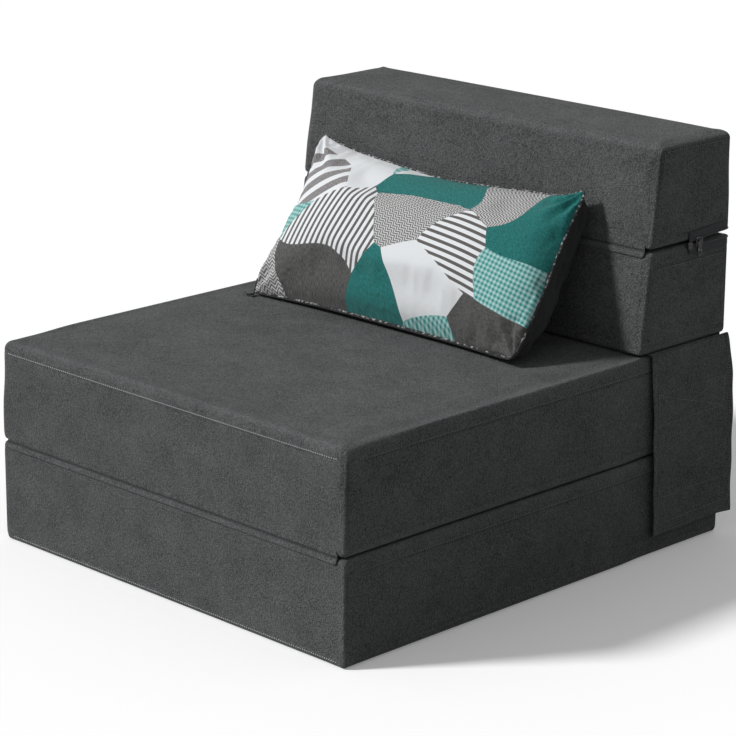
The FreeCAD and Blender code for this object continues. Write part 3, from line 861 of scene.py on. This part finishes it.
def flap_point(s, t):
    """A point on the flap's inner side, for s from the front edge to the rear and t from the top down.

    y runs straight from the front edge to the rear one at that height. x is the flap's rest
    plane, plus a flare that fades from the free front edge, plus two ripples that grow downwards.
    """
    z = flap_top + (flap_foot - flap_top) * t - 0.0016 * np.sin(2.2 * math.pi * s) * t
    y_front, y_rear = edges_at(z)
    flare = 0.0030 * np.exp(-s / 0.07) * eased(t, 0.05, 0.3)
    flare += 0.0022 * eased(s, 0.8, 1.0) * eased(t, 0.1, 0.5)
    ripple = 0.0011 * np.sin(9.0 * s + 2.5 * t) * t + 0.0007 * np.sin(23.0 * t + 4.0 * s) * eased(t, 0.0, 0.2)
    tucked = 0.0009 * (1.0 - eased(t, 0.0, 0.05))
    return np.stack([0.3534 + flare + ripple - tucked, y_front + (y_rear - y_front) * s, z], axis=-1)


def share_lines(length, near, pitch=0.007):
    """Grid shares from 0 to 1, close together near both ends of a length in metres."""
    inner = np.linspace(near[-1], length - near[-1], int(length / pitch))
    return np.unique(np.concatenate([near, length - near, inner])) / length


flap_wide, flap_long, hem_width = 0.182, 0.271, 0.0092
s_lines, t_lines = share_lines(flap_wide, flap_near), share_lines(flap_long, flap_near)
print("flap grid", len(s_lines), "by", len(t_lines))

# %% [markdown]
# The hem is the same cloth folded under and stitched down, so the edge is a touch thicker and
# a line of stitches sinks in just inside it. Where a hook patch is sewn on behind, a box of
# stitches with a cross shows through on the outside. These rows are drawn in the flap's own
# two directions, so they follow its ripples.
# %% Side flaps
def row_in_flap(corners, pitch=0.0042):
    """Places along straight runs between corners given as (y, z), as shares (s, t) of the flap."""
    runs = []
    for (y0, z0), (y1, z1) in zip(corners, corners[1:]):
        count = max(int(math.hypot(y1 - y0, z1 - z0) / pitch), 2)
        k = np.linspace(0.0, 1.0, count, endpoint=False)
        runs.append(np.stack([y0 + (y1 - y0) * k, z0 + (z1 - z0) * k], axis=1))
    y, z = np.concatenate(runs).T
    y_front, y_rear = edges_at(z)
    return (y - y_front) / (y_rear - y_front), (flap_top - z) / (flap_top - flap_foot)


flap_cloth_thick = 0.0018
hem_groove, hem_fold, hem_round = 0.0005, 0.0006, 0.0007
piping_x, piping_z, piping_radius, piping_steps = 0.3509, 0.3010, 0.0017, 60
hem_row = [(0.2218, 0.285), (0.2240, 0.170), (0.2300, 0.0395), (0.3925, 0.0395), (0.3900, 0.121),
           (0.3875, 0.238), (0.3790, 0.285)]
patch_rows = {
    "upper_box": [(0.229, 0.241), (0.229, 0.195), (0.376, 0.195), (0.376, 0.241), (0.229, 0.241)],
    "lower_box": [(0.233, 0.087), (0.233, 0.048), (0.376, 0.048), (0.376, 0.087), (0.233, 0.087)],
    "cross_1": [(0.229, 0.241), (0.376, 0.195)], "cross_2": [(0.229, 0.195), (0.376, 0.241)]}


def flap_stitches(name, body, hand, corners, length, thick):
    """A row of stitches on the flap's outer side."""
    s, t = row_in_flap(corners)
    places = flap_point(s, t)
    places[:, 0] += flap_cloth_thick + 0.0003
    ahead = flap_point(s + 0.002, t) - flap_point(s - 0.002, t)
    down = flap_point(s, t + 0.002) - flap_point(s, t - 0.002)
    normals = unit(np.cross(down, ahead))
    normals *= np.sign(normals[:, :1])
    mirror = np.array([hand, 1.0, 1.0])
    stitch_row(name, places * mirror, normals * mirror, length, thick, thread_dark, body)


def side_flap(word, hand):
    """The flap's cloth, its stitches and its corded top, mirrored to the left where hand is -1."""
    name, band = "flap_" + word, "flap_band_" + word
    mirror = np.array([hand, 1.0, 1.0])
    s, t = np.meshgrid(s_lines, t_lines, indexing="ij")
    inner = flap_point(s, t)
    hem = np.minimum(np.minimum(s * flap_wide, (1.0 - s) * flap_wide), (1.0 - t) * flap_long)
    line = dip(hem, hem_width, 0.0011)
    fold = hem_fold * (1.0 - eased(hem, hem_width - 0.001, hem_width + 0.0015))
    rounded = hem_round * (1.0 - np.clip(hem / 0.0015, 0.0, 1.0)) ** 2
    outer = inner.copy()
    outer[..., 0] += flap_cloth_thick + fold - hem_groove * line - rounded
    inner[..., 0] += rounded
    piece = two_layers(name + "_cloth", outer * mirror, inner * mirror, cover_cloth)
    # The seam number paints shade into the hem's stitch groove on the outer side, and the rub number lightens
    # the cloth near the edges as wear.
    seam_shade_and_rub_numbers(piece.data, np.concatenate([0.8 * line.ravel(), 0.0 * line.ravel()]),
                 np.tile(np.exp(-hem / 0.003).ravel(), 2) * 0.6)
    smooth_levels(piece)
    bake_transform(piece)
    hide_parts(name)
    flap_stitches(name + "_hem_stitches", name, hand, hem_row, 0.0028, 0.0008)
    for row, corners in patch_rows.items():
        flap_stitches("%s_%s" % (name, row), name, hand, corners, 0.0026, 0.0006)
    y = np.linspace(0.2125, 0.3845, piping_steps)
    wobble = 1.0 + 0.05 * np.sin(y[:, None] * 420.0)
    cord = swept(name + "_cord", straight(hand * piping_x, y, piping_z), x_way * wobble, z_way * wobble,
                 circle(piping_radius, 12), cover_cloth)
    belongs(cord, band, band)
    print(piece.name, len(piece.data.vertices), "points")


for word, hand in hands:
    side_flap(word, hand)

# %% [markdown]
# Hook and loop patches, and the sewn tabs that carry the flaps, are thin slabs of cloth with
# rounded corners. Their pile is too fine to make thread by thread, so both sides of a slab are
# raised by a fine pattern in the mesh, and the patches' material adds the tangle on top.
# %% Patches and tabs
pile_stuff, tree, shader, where = new_material("hook_and_loop", Sheen_Weight=0.15, Specular_IOR_Level=0.2)
tangle = noise(where, 1300.0, 2.0, 0.7)
pile = tangle * 0.6 + cell_distance(where, 900.0) * 0.5
feed(shader["Base Color"], blend_colours(pile, (0.012, 0.013, 0.014), (0.07, 0.074, 0.08)))
feed(shader["Roughness"], 0.75 + tangle * 0.2)
feed(shader["Normal"], bump(pile, 0.0008))
slab_pitch, slab_corner, pile_high = 0.003, 0.004, 0.00012


def cloth_slab(name, node, thin_axis, body, material=pile_stuff):
    """A thin slab in the node's box: a grid pulled in at its four corners, with a raised pattern."""
    low, high = box_of(node)
    u, v = [k for k in range(3) if k != thin_axis]
    nu, nv = (max(int((high[k] - low[k]) / slab_pitch), 6) for k in (u, v))
    a, b = np.meshgrid(np.linspace(-1.0, 1.0, nu), np.linspace(-1.0, 1.0, nv), indexing="ij")
    centre, half = (low + high) / 2.0, (high - low) / 2.0
    from_u, from_v = half[u] * (1 - np.abs(a)), half[v] * (1 - np.abs(b))
    bite = np.clip(np.minimum(from_u, from_v) / slab_corner, 0.0, 1.0)
    pull = 0.3 * slab_corner * np.clip(1.0 - (from_u + from_v) / slab_corner, 0.0, 1.0)
    raised = pile_high * np.sin(a * nu * 1.7) * np.sin(b * nv * 2.1) * bite
    layers = []
    for level, sign in ((low[thin_axis], -1.0), (high[thin_axis], 1.0)):
        grid = np.zeros(a.shape + (3,))
        grid[..., u] = centre[u] + a * (half[u] - pull)
        grid[..., v] = centre[v] + b * (half[v] - pull)
        middle = centre[thin_axis]
        grid[..., thin_axis] = middle + (level - middle) * (0.55 + 0.45 * bite) * 0.92 + raised * sign
        layers.append(grid)
    piece = two_layers(name, *layers, material)
    belongs(piece, body, node)


for word, hand in hands:
    for kind, body in (("loop_seat_", "seat"), ("loop_base_", "base")):
        cloth_slab(kind + word + "_pile", kind + word, 0, body)
    for kind in ("hook_upper_", "hook_lower_"):
        cloth_slab(kind + word + "_pile", kind + word, 0, "flap_" + word)
    cloth_slab("flap_tab_%s_cloth" % word, "flap_seam_" + word, 2, "back_lower",
               cover_cloth)
print("patches and tabs done")

# %% [markdown]
# A zip is two woven tapes with a nylon coil along the edge where they meet. A coil is a tube
# carried along a helix, so its path is worked out round the zip's own line: the line, plus a
# turning radius in the two directions across it. The four cover zips run straight across the
# rear. The long one goes round both sides and the rear of the back, and its halves stand open.
# %% Zip materials
tape_cloth, tree, shader, where = new_material("zip_tape", Sheen_Weight=0.1, Specular_IOR_Level=0.25)
parts = add_node(tree, "ShaderNodeSeparateXYZ", {"Vector": where})
threads_per_metre = 5200.0
weave = calc("SINE", (parts["X"] + parts["Y"]) * threads_per_metre + parts["Z"] * threads_per_metre) * 0.5
feed(shader["Base Color"], blend_colours(weave + 0.5, (0.010, 0.011, 0.012), (0.034, 0.036, 0.04)))
feed(shader["Roughness"], 0.8 + weave * 0.1)
feed(shader["Normal"], bump(weave, 0.0003))
coil_nylon = two_tone("zip_coil", lambda where: noise(where, 240.0), (0.012, 0.012, 0.013),
                      (0.05, 0.05, 0.055), 0.28, 0.3, Specular_IOR_Level=0.5, Coat_Weight=0.2)
enamel, tree, shader, where = new_material("zip_enamel", Specular_IOR_Level=0.3, Coat_Roughness=0.4)
chips = spread(noise(where, 420.0, 3.0, 0.7), 0.60, 0.68)
feed(shader["Base Color"], blend_colours(chips, (0.018, 0.018, 0.02), (0.34, 0.33, 0.32)))
feed(shader["Metallic"], chips)
feed(shader["Roughness"], 0.42 + noise(where, 90.0) * 0.25)
print("zip materials ready")

# %% Tapes and coils
steps_per_turn = 6
cover_coil, long_coil = (0.0008, 0.0018, 0.0008), (0.0010, 0.0020, 0.0009)
pillow_coil = (0.0007, 0.0016, 0.0007)


def length_along(line):
    """The distance along a line up to each of its points."""
    return np.concatenate([[0.0], np.cumsum(np.linalg.norm(np.diff(line, axis=0), axis=1))])


def values_at(at, far, values):
    """Points or directions at given distances along a line, from those at the distances far."""
    return np.stack([np.interp(at, far, values[:, k]) for k in range(3)], axis=1)


def coil_along(name, line, over, size, body):
    """A nylon coil: line + radius * (cos a * across + sin a * over), with one turn every turn_pitch.

    size is the coil's radius, the length of one turn and the thickness of its wire.
    """
    radius, turn_pitch, wire = size
    far = length_along(line)
    at = np.linspace(0.0, far[-1], int(far[-1] / turn_pitch) * steps_per_turn)
    middle, up_line = values_at(at, far, line), unit(values_at(at, far, over))
    across = np.cross(up_line, unit(np.gradient(middle, axis=0)))
    angle = 2.0 * math.pi * at[:, None] / turn_pitch
    out = np.cos(angle) * across + np.sin(angle) * up_line
    path = middle + radius * out
    third = np.cross(unit(np.gradient(path, axis=0)), out)
    piece = swept(name, path, out, third, circle(wire / 2.0, 4, math.pi / 4.0), coil_nylon)
    belongs(piece, body)
    print(name, len(piece.data.vertices), "points")


def tape_along(name, line, over, out, body, stands_for=None, half=0.0048):
    """A woven tape: a flat ribbon along the line, `over` across its width and `out` away from the cover."""
    piece = swept(name, line, over, out, ribbon_profile(half, 0.0009, 8, half * 0.6), tape_cloth)
    belongs(piece, body, stands_for)


zip_reach, zip_rear, tape_offset = 0.2795, 0.3833, 0.0060
for block, height in (("base", 0.075), ("seat", 0.1995), ("back_lower", 0.345), ("back_upper", 0.5325)):
    x = np.linspace(-zip_reach, zip_reach, 70)
    line, _ = land_on(surfaces[block], straight(x, 0.6, height), (0, -1, 0))
    line[:, 1] = np.minimum(line[:, 1], zip_rear)
    up_way, out_way = same_way(z_way, len(line)), same_way(y_way, len(line))
    name = block + "_zip_"
    tape_along(name + "lower_tape", line - up_way * tape_offset, up_way, out_way, block, name + "tape")
    tape_along(name + "upper_tape", line + up_way * tape_offset, -up_way, out_way, block)
    coil_along(name + "coil", line + out_way * 0.0004, out_way, cover_coil, block)

# %% The long zip round the back
def round_the_back(height, rise, start=0.2892, turn=0.0135, reach_x=0.3497, reach_y=0.3842):
    """A line along the right, round the rear corners and along the left, rising towards the rear."""
    y = np.linspace(start, reach_y - turn, 26)
    a = np.linspace(0.0, math.pi / 2.0, 9)[1:]
    right_side = np.stack([np.full_like(y, reach_x), y], axis=1)
    corner = np.stack([reach_x - turn + turn * np.cos(a), reach_y - turn + turn * np.sin(a)], axis=1)
    half_line = np.concatenate([right_side, corner, [[0.25, reach_y], [0.15, reach_y], [0.05, reach_y]]])
    line = np.concatenate([half_line, half_line[::-1] * np.array([-1.0, 1.0])])
    lift = height + rise * eased(line[:, 1], start, reach_y)
    way = np.gradient(line, axis=0)
    out = unit(np.stack([way[:, 1], -way[:, 0]], axis=1))
    return np.column_stack([line, lift]), np.column_stack([out, np.zeros(len(out))])


wide_half = 0.0062
for word, height, rise, sign in (("lower", 0.4400, -0.0015, 1.0), ("upper", 0.4590, 0.0045, -1.0)):
    line, out = round_the_back(height, rise)
    over = same_way(sign * z_way, len(line))
    name, body = "head_zip_%s_" % word, "back_" + word
    tape_along(name + "tape", line, over, out, body, "head_zip_tape_" + word, wide_half)
    coil_along(name + "coil", line + over * wide_half + out * 0.0006, out, long_coil, body)

# %% Sliders and pulls keep their CAD shape
for name, node in nodes.items():
    if "slider" in name or "pull" in name or name == "head_zip_box":
        node.data.materials.clear()
        node.data.materials.append(enamel)
        print(name, "in enamel")

# %% [markdown]
# The pillow is two flat panels sewn together at the rim and stuffed. A stuffed envelope draws
# in along its sides and keeps its corners as ears, with creases running off them. A balloon
# simulation of the flat panels pinched the sides far more than the real pillow's, so the form
# is written as a function first: a rim that draws in by a few millimetres, and a height that
# falls from the middle to the rim as ((1 - s^2)(1 - t^2))^0.5. Cloth simulation then works on
# that, with the rim held and the panels a little too large, so that they buckle as real ones do.
# %% Pillow form
pillow_centre = np.array([0.0, 0.114, 0.3988])
pillow_lean = math.radians(37.8)
pillow_up = np.array([0.0, math.sin(pillow_lean), math.cos(pillow_lean)])
pillow_out = np.array([0.0, -math.cos(pillow_lean), math.sin(pillow_lean)])
columns, rows = 92, 48
flat_wide, flat_tall = 0.600, 0.290                     # the panels as cut
half_wide, half_thick = 0.2725, 0.0635                  # the stuffed form
low_reach, top_reach, ear_rise = 0.1235, 0.1270, 0.0265


def crowded(count):
    """Shares from -1 to 1 that come closer together towards both ends: a mix of t and sin(t pi/2)."""
    t = np.linspace(-1.0, 1.0, count)
    return 0.45 * t + 0.55 * np.sin(t * math.pi / 2.0)


def pillow_point(s, t, side):
    """A point of the pillow in its own directions: across, up along the lean, and out from it.

    At both ends the rear panel wraps round, so the seam lies forward and the rear panel bulges past it.
    """
    draw_in = 0.024 * (1.0 - t ** 2) * np.abs(s) ** 3
    x = s * half_wide * (1.0 - draw_in) - 0.010 * s ** 2 - 0.017 * eased(t, -0.5, 1.0) * eased(s, 0.0, 1.0)
    low = -low_reach + 0.0110 * (1.0 - s ** 4)
    high = top_reach + ear_rise * np.abs(s) ** 6 - 0.004 * np.cos(5.0 * s + 0.4)
    along = low + (high - low) * (t + 1.0) / 2.0
    height = ((1.0 - s ** 2) * (1.0 - t ** 2)) ** 0.5
    round_corner = np.abs(s * t) ** 9
    x = x - 0.006 * np.sign(s) * round_corner
    along = along - 0.005 * np.sign(t) * round_corner
    gusset = eased(np.abs(s), 0.62, 0.92) * (1.0 - eased(np.abs(s), 0.92, 1.0)) * (1.0 - t ** 8)
    x = x + (side < 0) * np.where(s > 0, 0.022, -0.003) * gusset
    seam_forward = np.where(s > 0, 0.016, 0.002) * np.abs(s) ** 5
    return np.stack([x, along, side * half_thick * height + seam_forward], axis=-1).reshape(-1, 3)


s, t = np.meshgrid(crowded(columns), crowded(rows), indexing="ij")
quads = grid_faces(columns, rows)
points, faces, first = weld(np.concatenate([pillow_point(s, t, 1.0), pillow_point(s, t, -1.0)]),
                            np.concatenate([quads, quads[:, ::-1] + s.size]))
faces = outward(points, faces)
share_s, share_t = np.tile(s.ravel(), 2)[first], np.tile(t.ravel(), 2)[first]
flat_uv = np.stack([(share_s + 1.0) * flat_wide / 2.0, (share_t + 1.0) * flat_tall / 2.0], axis=1)
from_rim = np.minimum((1.0 - np.abs(share_s)) * flat_wide / 2.0, (1.0 - np.abs(share_t)) * flat_tall / 2.0)
on_rim = from_rim < 1e-5
print("pillow", len(points), "points")

# %% [markdown]
# Near each corner the cloth gathers into a few creases that run out from the ear, and all along
# the rim the seam puckers the cloth a little. Both are waves laid over the form: a crease is
# sin(k * angle) round its corner, fading with distance, and a pucker is a wave along the rim.
# %% Creases, puckers and buckling
side_of = np.where(first < s.size, 1.0, -1.0) * ~on_rim
for corner, phase in (((1, 1), 0.4), ((1, -1), 1.9), ((-1, 1), 3.1), ((-1, -1), 4.6)):
    across = (1.0 - share_s * corner[0]) * flat_wide / 2.0
    down = (1.0 - share_t * corner[1]) * flat_tall / 2.0
    angle = np.arctan2(down, across)
    crease = 0.0050 * np.sin(8.5 * angle + phase) * dip(np.hypot(across, down), 0.035, 0.034)
    points[:, 2] += side_of * crease * np.minimum(angle, math.pi / 2.0 - angle) * 2.2
along_rim = np.where((1.0 - np.abs(share_s)) * flat_wide < (1.0 - np.abs(share_t)) * flat_tall,
                     flat_uv[:, 1], flat_uv[:, 0])
round_rim = along_rim * 2.0 * math.pi
pucker = 0.0011 * np.sin(round_rim / 0.021) + 0.0007 * np.sin(round_rim / 0.0135 + 1.0)
points[:, 2] += side_of * pucker * np.exp(-from_rim / 0.016) * eased(from_rim, 0.0, 0.004)
shell = make_piece("pillow_shell", points, faces)
shell.vertex_groups.new(name="rim").add(np.flatnonzero(on_rim).tolist(), 1.0, "REPLACE")
points = puff(shell, pressure=2.5, cap=0.009, stretch=9.0, bend=0.03, frames=14, quality=5,
              inward_cap=0.006, pinned="rim", shrink=-0.035)
bpy.data.objects.remove(shell)
print("thickness", round(float(np.ptp(points[:, 2])), 4), "width", round(float(np.ptp(points[:, 0])), 4))

# %% [markdown]
# Then the pillow is turned into place, leaning on the back. The top left ear flops forward and
# the right one falls back a little. Where a point would go into the seat or the back, it is
# pressed out to just clear of it, so the pillow is flat there.
# %% Pillow in place
share_x = points[:, 0] / half_wide
upper_share = eased(points[:, 1], 0.05, 0.145)
left_ear = eased(-share_x, 0.74, 1.0) * upper_share
right_ear = eased(share_x, 0.82, 1.0) * upper_share
ear_drop, left_flop, right_flop, most_out = 0.004, 0.017, 0.005, 0.0655
along = points[:, 1] - ear_drop * left_ear
out = pressed(points[:, 2] + left_flop * left_ear - right_flop * right_ear, most_out, 0.0040)
posed = pillow_centre + points[:, :1] * x_way + along[:, None] * pillow_up + out[:, None] * pillow_out


def clear_of(height, press=0.004):
    """A height over a plane: under `press` it becomes press * exp(-(press - height) / press), never 0."""
    sunk = np.maximum(press - height, 0.0)
    return np.where(sunk > 0, press * np.exp(-sunk / press), height)


seat_level, back_foot, back_foot_z, block_height = 0.3009, 0.1835, 0.300, 0.150
posed[:, 2] = seat_level + clear_of(posed[:, 2] - seat_level)
back_plane = back_foot + back_lean * (posed[:, 2] - back_foot_z) / block_height
posed[:, 1] = back_plane - clear_of(back_plane - posed[:, 1])
print("pillow from", posed.min(0).round(4), "to", posed.max(0).round(4))

# %% [markdown]
# The front panel carries a printed patchwork. This one is a plain crazy quilt: cells of
# uneven polygons, each with one of a few common fillings, such as stripes, checks, chevrons or
# a plain heather, turned its own way. A Voronoi texture gives the cells, and its random colour
# for each cell picks the filling and the turn, so nothing has to be drawn by hand.
# %% Patchwork groups
motif, ins, outs = new_group(
    "motif_share", [("Value", "Float", 0.5), ("From", "Float", 0.0), ("To", "Float", 1.0)],
    [("Share", "Float")])
above, below = calc("GREATER_THAN", ins["Value"], ins["From"]), calc("LESS_THAN", ins["Value"], ins["To"])
feed(outs["Share"], above * below)

bands, ins, outs = new_group(
    "thread_bands", [("Along", "Float", 0.0), ("Pitch", "Float", 0.01), ("Share", "Float", 0.5)],
    [("Band", "Float")])
feed(outs["Band"], calc("LESS_THAN", calc("FRACT", calc("DIVIDE", ins["Along"], ins["Pitch"])), ins["Share"]))
print("groups:", motif.name, bands.name)

# %% Printed cloth
print_cloth, tree, shader, _ = new_material("pillow_print", Sheen_Weight=0.1, Specular_IOR_Level=0.25)
sewn = add_node(tree, "ShaderNodeUVMap", uv_map="cut")["UV"]


def scaled(vector, scale, shift=(0.0, 0.0, 0.0)):
    """A place stretched and shifted."""
    return add_node(tree, "ShaderNodeMapping", {"Vector": vector, "Location": shift, "Scale": scale})[0]


layout = scaled(sewn, (1.0, 1.15, 1.0), (0.37, 0.21, 0.0))
drift = add_node(tree, "ShaderNodeTexNoise", {"Vector": layout, "Scale": 5.0, "Detail": 0.0})["Color"]
bent = add_node(tree, "ShaderNodeVectorMath", {0: drift, "Scale": 0.16}, operation="SCALE")[0]
curved = add_node(tree, "ShaderNodeVectorMath", {0: layout, 1: bent}, operation="ADD")[0]
quilt = add_node(tree, "ShaderNodeTexVoronoi", {"Vector": curved, "Scale": 7.6, "Randomness": 0.9},
                 voronoi_dimensions="2D")
pick = add_node(tree, "ShaderNodeSeparateColor", {"Color": quilt["Color"]})
turned = add_node(tree, "ShaderNodeVectorRotate", {"Vector": sewn, "Angle": pick["Green"] * 3.1},
                  rotation_type="Z_AXIS")[0]
local = add_node(tree, "ShaderNodeSeparateXYZ", {"Vector": turned})
p_way, q_way = local["X"], local["Y"]
heather = noise(scaled(turned, (150.0, 760.0, 1.0)), 1.0, 1.0)


def band(along_way, pitch, share):
    """Bands of the given pitch across one direction."""
    return use_group(tree, bands, Along=along_way, Pitch=pitch, Share=share)["Band"]


def tinted(dark, light):
    """A heathered colour between two tones."""
    return blend_colours(spread(heather, 0.38, 0.62), dark, light)


white = (0.82, 0.84, 0.86)
paper = blend_colours(heather, (0.74, 0.76, 0.78), white)
charcoal = tinted((0.045, 0.045, 0.044), (0.115, 0.115, 0.112))
teal = tinted((0.004, 0.10, 0.095), (0.012, 0.20, 0.185))
grey = tinted((0.17, 0.165, 0.165), (0.31, 0.30, 0.30))
checks = blend_colours((band(p_way, 0.0078, 0.5) + band(q_way, 0.0078, 0.5)) * 0.5,
                       (0.46, 0.68, 0.66), (0.02, 0.27, 0.255))
wide_bands = blend_colours(band(p_way, 0.030, 0.42), grey, white)
narrow_bands = blend_colours(band(p_way, 0.0125, 0.45), white, (0.11, 0.105, 0.10))
zig = calc("PINGPONG", q_way, 0.007) * 0.9
chevrons = blend_colours(band(p_way + zig, 0.0056, 0.5), (0.62, 0.62, 0.62), (0.13, 0.13, 0.13))
twill = blend_colours(band(p_way + q_way, 0.0042, 0.5), (0.55, 0.56, 0.57), (0.05, 0.05, 0.052))
fillings = [(paper, 0.0, 0.28), (charcoal, 0.28, 0.45), (checks, 0.45, 0.58), (teal, 0.58, 0.69),
            (wide_bands, 0.69, 0.78), (narrow_bands, 0.78, 0.85), (chevrons, 0.85, 0.94), (twill, 0.94, 1.01)]
colour = white
for filling, low_end, high_end in fillings:
    share = use_group(tree, motif, Value=pick["Red"], From=low_end - 0.001, To=high_end)["Share"]
    colour = blend_colours(share, colour, filling)
ends = add_node(tree, "ShaderNodeSeparateXYZ", {"Vector": scaled(sewn, (1400.0, 1400.0, 1.0))})
canvas = calc("SINE", ends["X"] * 6.28) * calc("SINE", ends["Y"] * 6.28)
shade = 0.965 + canvas * 0.035
grey_shade = add_node(tree, "ShaderNodeCombineXYZ", {"X": shade, "Y": shade, "Z": shade})[0]
feed(shader["Base Color"], add_node(tree, "ShaderNodeMix", data_type="RGBA", blend_type="MULTIPLY",
                                    inputs={0: 1.0, 6: colour, 7: grey_shade})[2])
feed(shader["Roughness"], 0.8 + canvas * 0.08)
feed(shader["Normal"], bump(canvas + heather, 0.00012, 0.8))

plain_cloth = brushed_cloth("pillow_plain", (0.006, 0.007, 0.007), (0.028, 0.030, 0.031),
                            speckle_scale=1300.0, cloud_scale=30.0, rough=0.88)
print("patchwork of", len(fillings), "fillings")

# %% Pillow panels
panel_wall = 0.0012


def panel(part_faces, word, material):
    """One sewn panel: the part's faces, with a thin wall inward so that it is a closed shell."""
    used, index = np.unique(part_faces, return_inverse=True)
    piece = make_piece("pillow_%s_panel" % word, posed[used], index.reshape(part_faces.shape), material)
    mesh = piece.data
    corners = np.zeros(len(mesh.loops), dtype=np.int32)
    mesh.loops.foreach_get("vertex_index", corners)
    mesh.uv_layers.new(name="cut").data.foreach_set("uv", flat_uv[used][corners].astype(np.float32).ravel())
    # The seam number paints shade along the rim, and only the back panel's plain cloth reads it.
    seam_shade_and_rub_numbers(mesh, 0.5 * np.exp(-from_rim[used] / 0.004), 0.0 * from_rim[used])
    wall = piece.modifiers.new("cloth_wall", "SOLIDIFY")
    wall.thickness = panel_wall
    wall.offset = -1.0
    smooth_levels(piece)
    belongs(piece, "pillow", "pillow_" + word)
    print(piece.name, len(used), "points")


half_count = len(faces) // 2
panel(faces[:half_count], "front", print_cloth)
panel(faces[half_count:], "back", plain_cloth)

# %% [markdown]
# Inside is loose white fibre. It has the shell's own form, drawn in a little all round, with a
# lumpy skin. The rim is finished by an overlocked seam: a knobbly dark cord that follows the
# rim's points.
# %% Pillow filling
fibre_stuff = two_tone("filling", lambda where: noise(where, 320.0, 4.0, 0.7), (0.62, 0.62, 0.60),
                       (0.86, 0.86, 0.85), 0.8, 0.15, 0.002, Sheen_Weight=0.3, Specular_IOR_Level=0.2)
core = posed.mean(axis=0)
mid_sheet = posed - ((posed - pillow_centre) @ pillow_out)[:, None] * pillow_out
inside = mid_sheet + (posed - mid_sheet) * (0.35 + 0.53 * eased(from_rim, 0.0, 0.05)[:, None])
inside = core + (inside - core) * np.array([0.90, 0.86, 0.86]) + 0.002 * np.sin(posed * 90.0)
filling = make_piece("pillow_fibre", inside, faces, fibre_stuff)
belongs(filling, "pillow", "pillow_filling")
print("filling of", len(inside), "points")

# %% Pillow seam
seam_steps, cord_sides, knob_pitch, slow_pitch = 900, 8, 0.0046, 0.0131
rim_way = np.arctan2((flat_uv[on_rim, 1] - flat_tall / 2.0) / flat_tall,
                     (flat_uv[on_rim, 0] - flat_wide / 2.0) / flat_wide)
loop = posed[on_rim][np.argsort(rim_way)]
closed = np.concatenate([loop[-2:], loop, loop[:3]])
far = length_along(closed)
at = np.linspace(far[2], far[-3], seam_steps, endpoint=False)
seam_path = values_at(at, far, closed)
way = unit(np.roll(seam_path, -1, axis=0) - np.roll(seam_path, 1, axis=0))
first_way = unit(np.cross(way, pillow_out))
second_way = np.cross(way, first_way)
turns = at * 2.0 * math.pi
knob = 0.0016 * (1.0 + 0.28 * np.sin(turns / knob_pitch) + 0.12 * np.sin(turns / slow_pitch))
section = circle(1.0, cord_sides)[None] * knob[:, None, None]
ring_points = (seam_path[:, None, :] + section[..., :1] * first_way[:, None, :]
               + section[..., 1:] * second_way[:, None, :]).reshape(-1, 3)
ring_faces = outward(ring_points, grid_faces(seam_steps, cord_sides, wrap=True, closed=True))
rim_thread = two_tone("overlock_thread", lambda where: spread(noise(where, 230.0, 1.0), 0.50, 0.64),
                      (0.012, 0.012, 0.013), (0.34, 0.34, 0.34), 0.75, 0.1,
                      Sheen_Weight=0.2, Specular_IOR_Level=0.25)
belongs(make_piece("pillow_overlock_seam", ring_points, ring_faces, rim_thread), "pillow")
print("seam length", round(float(far[-3] - far[2]), 3), "m")

# %% Pillow zip
low_corner, high_corner = box_of("pillow_zip_tape")
x = np.linspace(low_corner[0], high_corner[0], 80)
low_rim = loop[np.argsort(loop[:, 0])]
low_rim = low_rim[low_rim[:, 2] < 0.33]
zip_y, zip_z = (np.interp(x, low_rim[:, 0], low_rim[:, k]) for k in (1, 2))
zip_line = np.stack([x, zip_y - 0.0018, np.maximum(zip_z - 0.0016, 0.3005)], axis=1)
up_way, back_way = same_way(z_way, len(x)), same_way(y_way, len(x))
tape = swept("pillow_zip_cloth", zip_line, back_way, up_way, ribbon_profile(0.0030, 0.0008, 6), tape_cloth)
belongs(tape, "pillow", "pillow_zip_tape")
coil_line = zip_line - back_way * 0.0026 + up_way * 0.0006
coil_along("pillow_zip_coil", coil_line, up_way, pillow_coil, "pillow")

# %% The last cell: CAD nodes still shown
print("CAD nodes still shown:", sorted(name for name, node in nodes.items() if not node.hide_render))
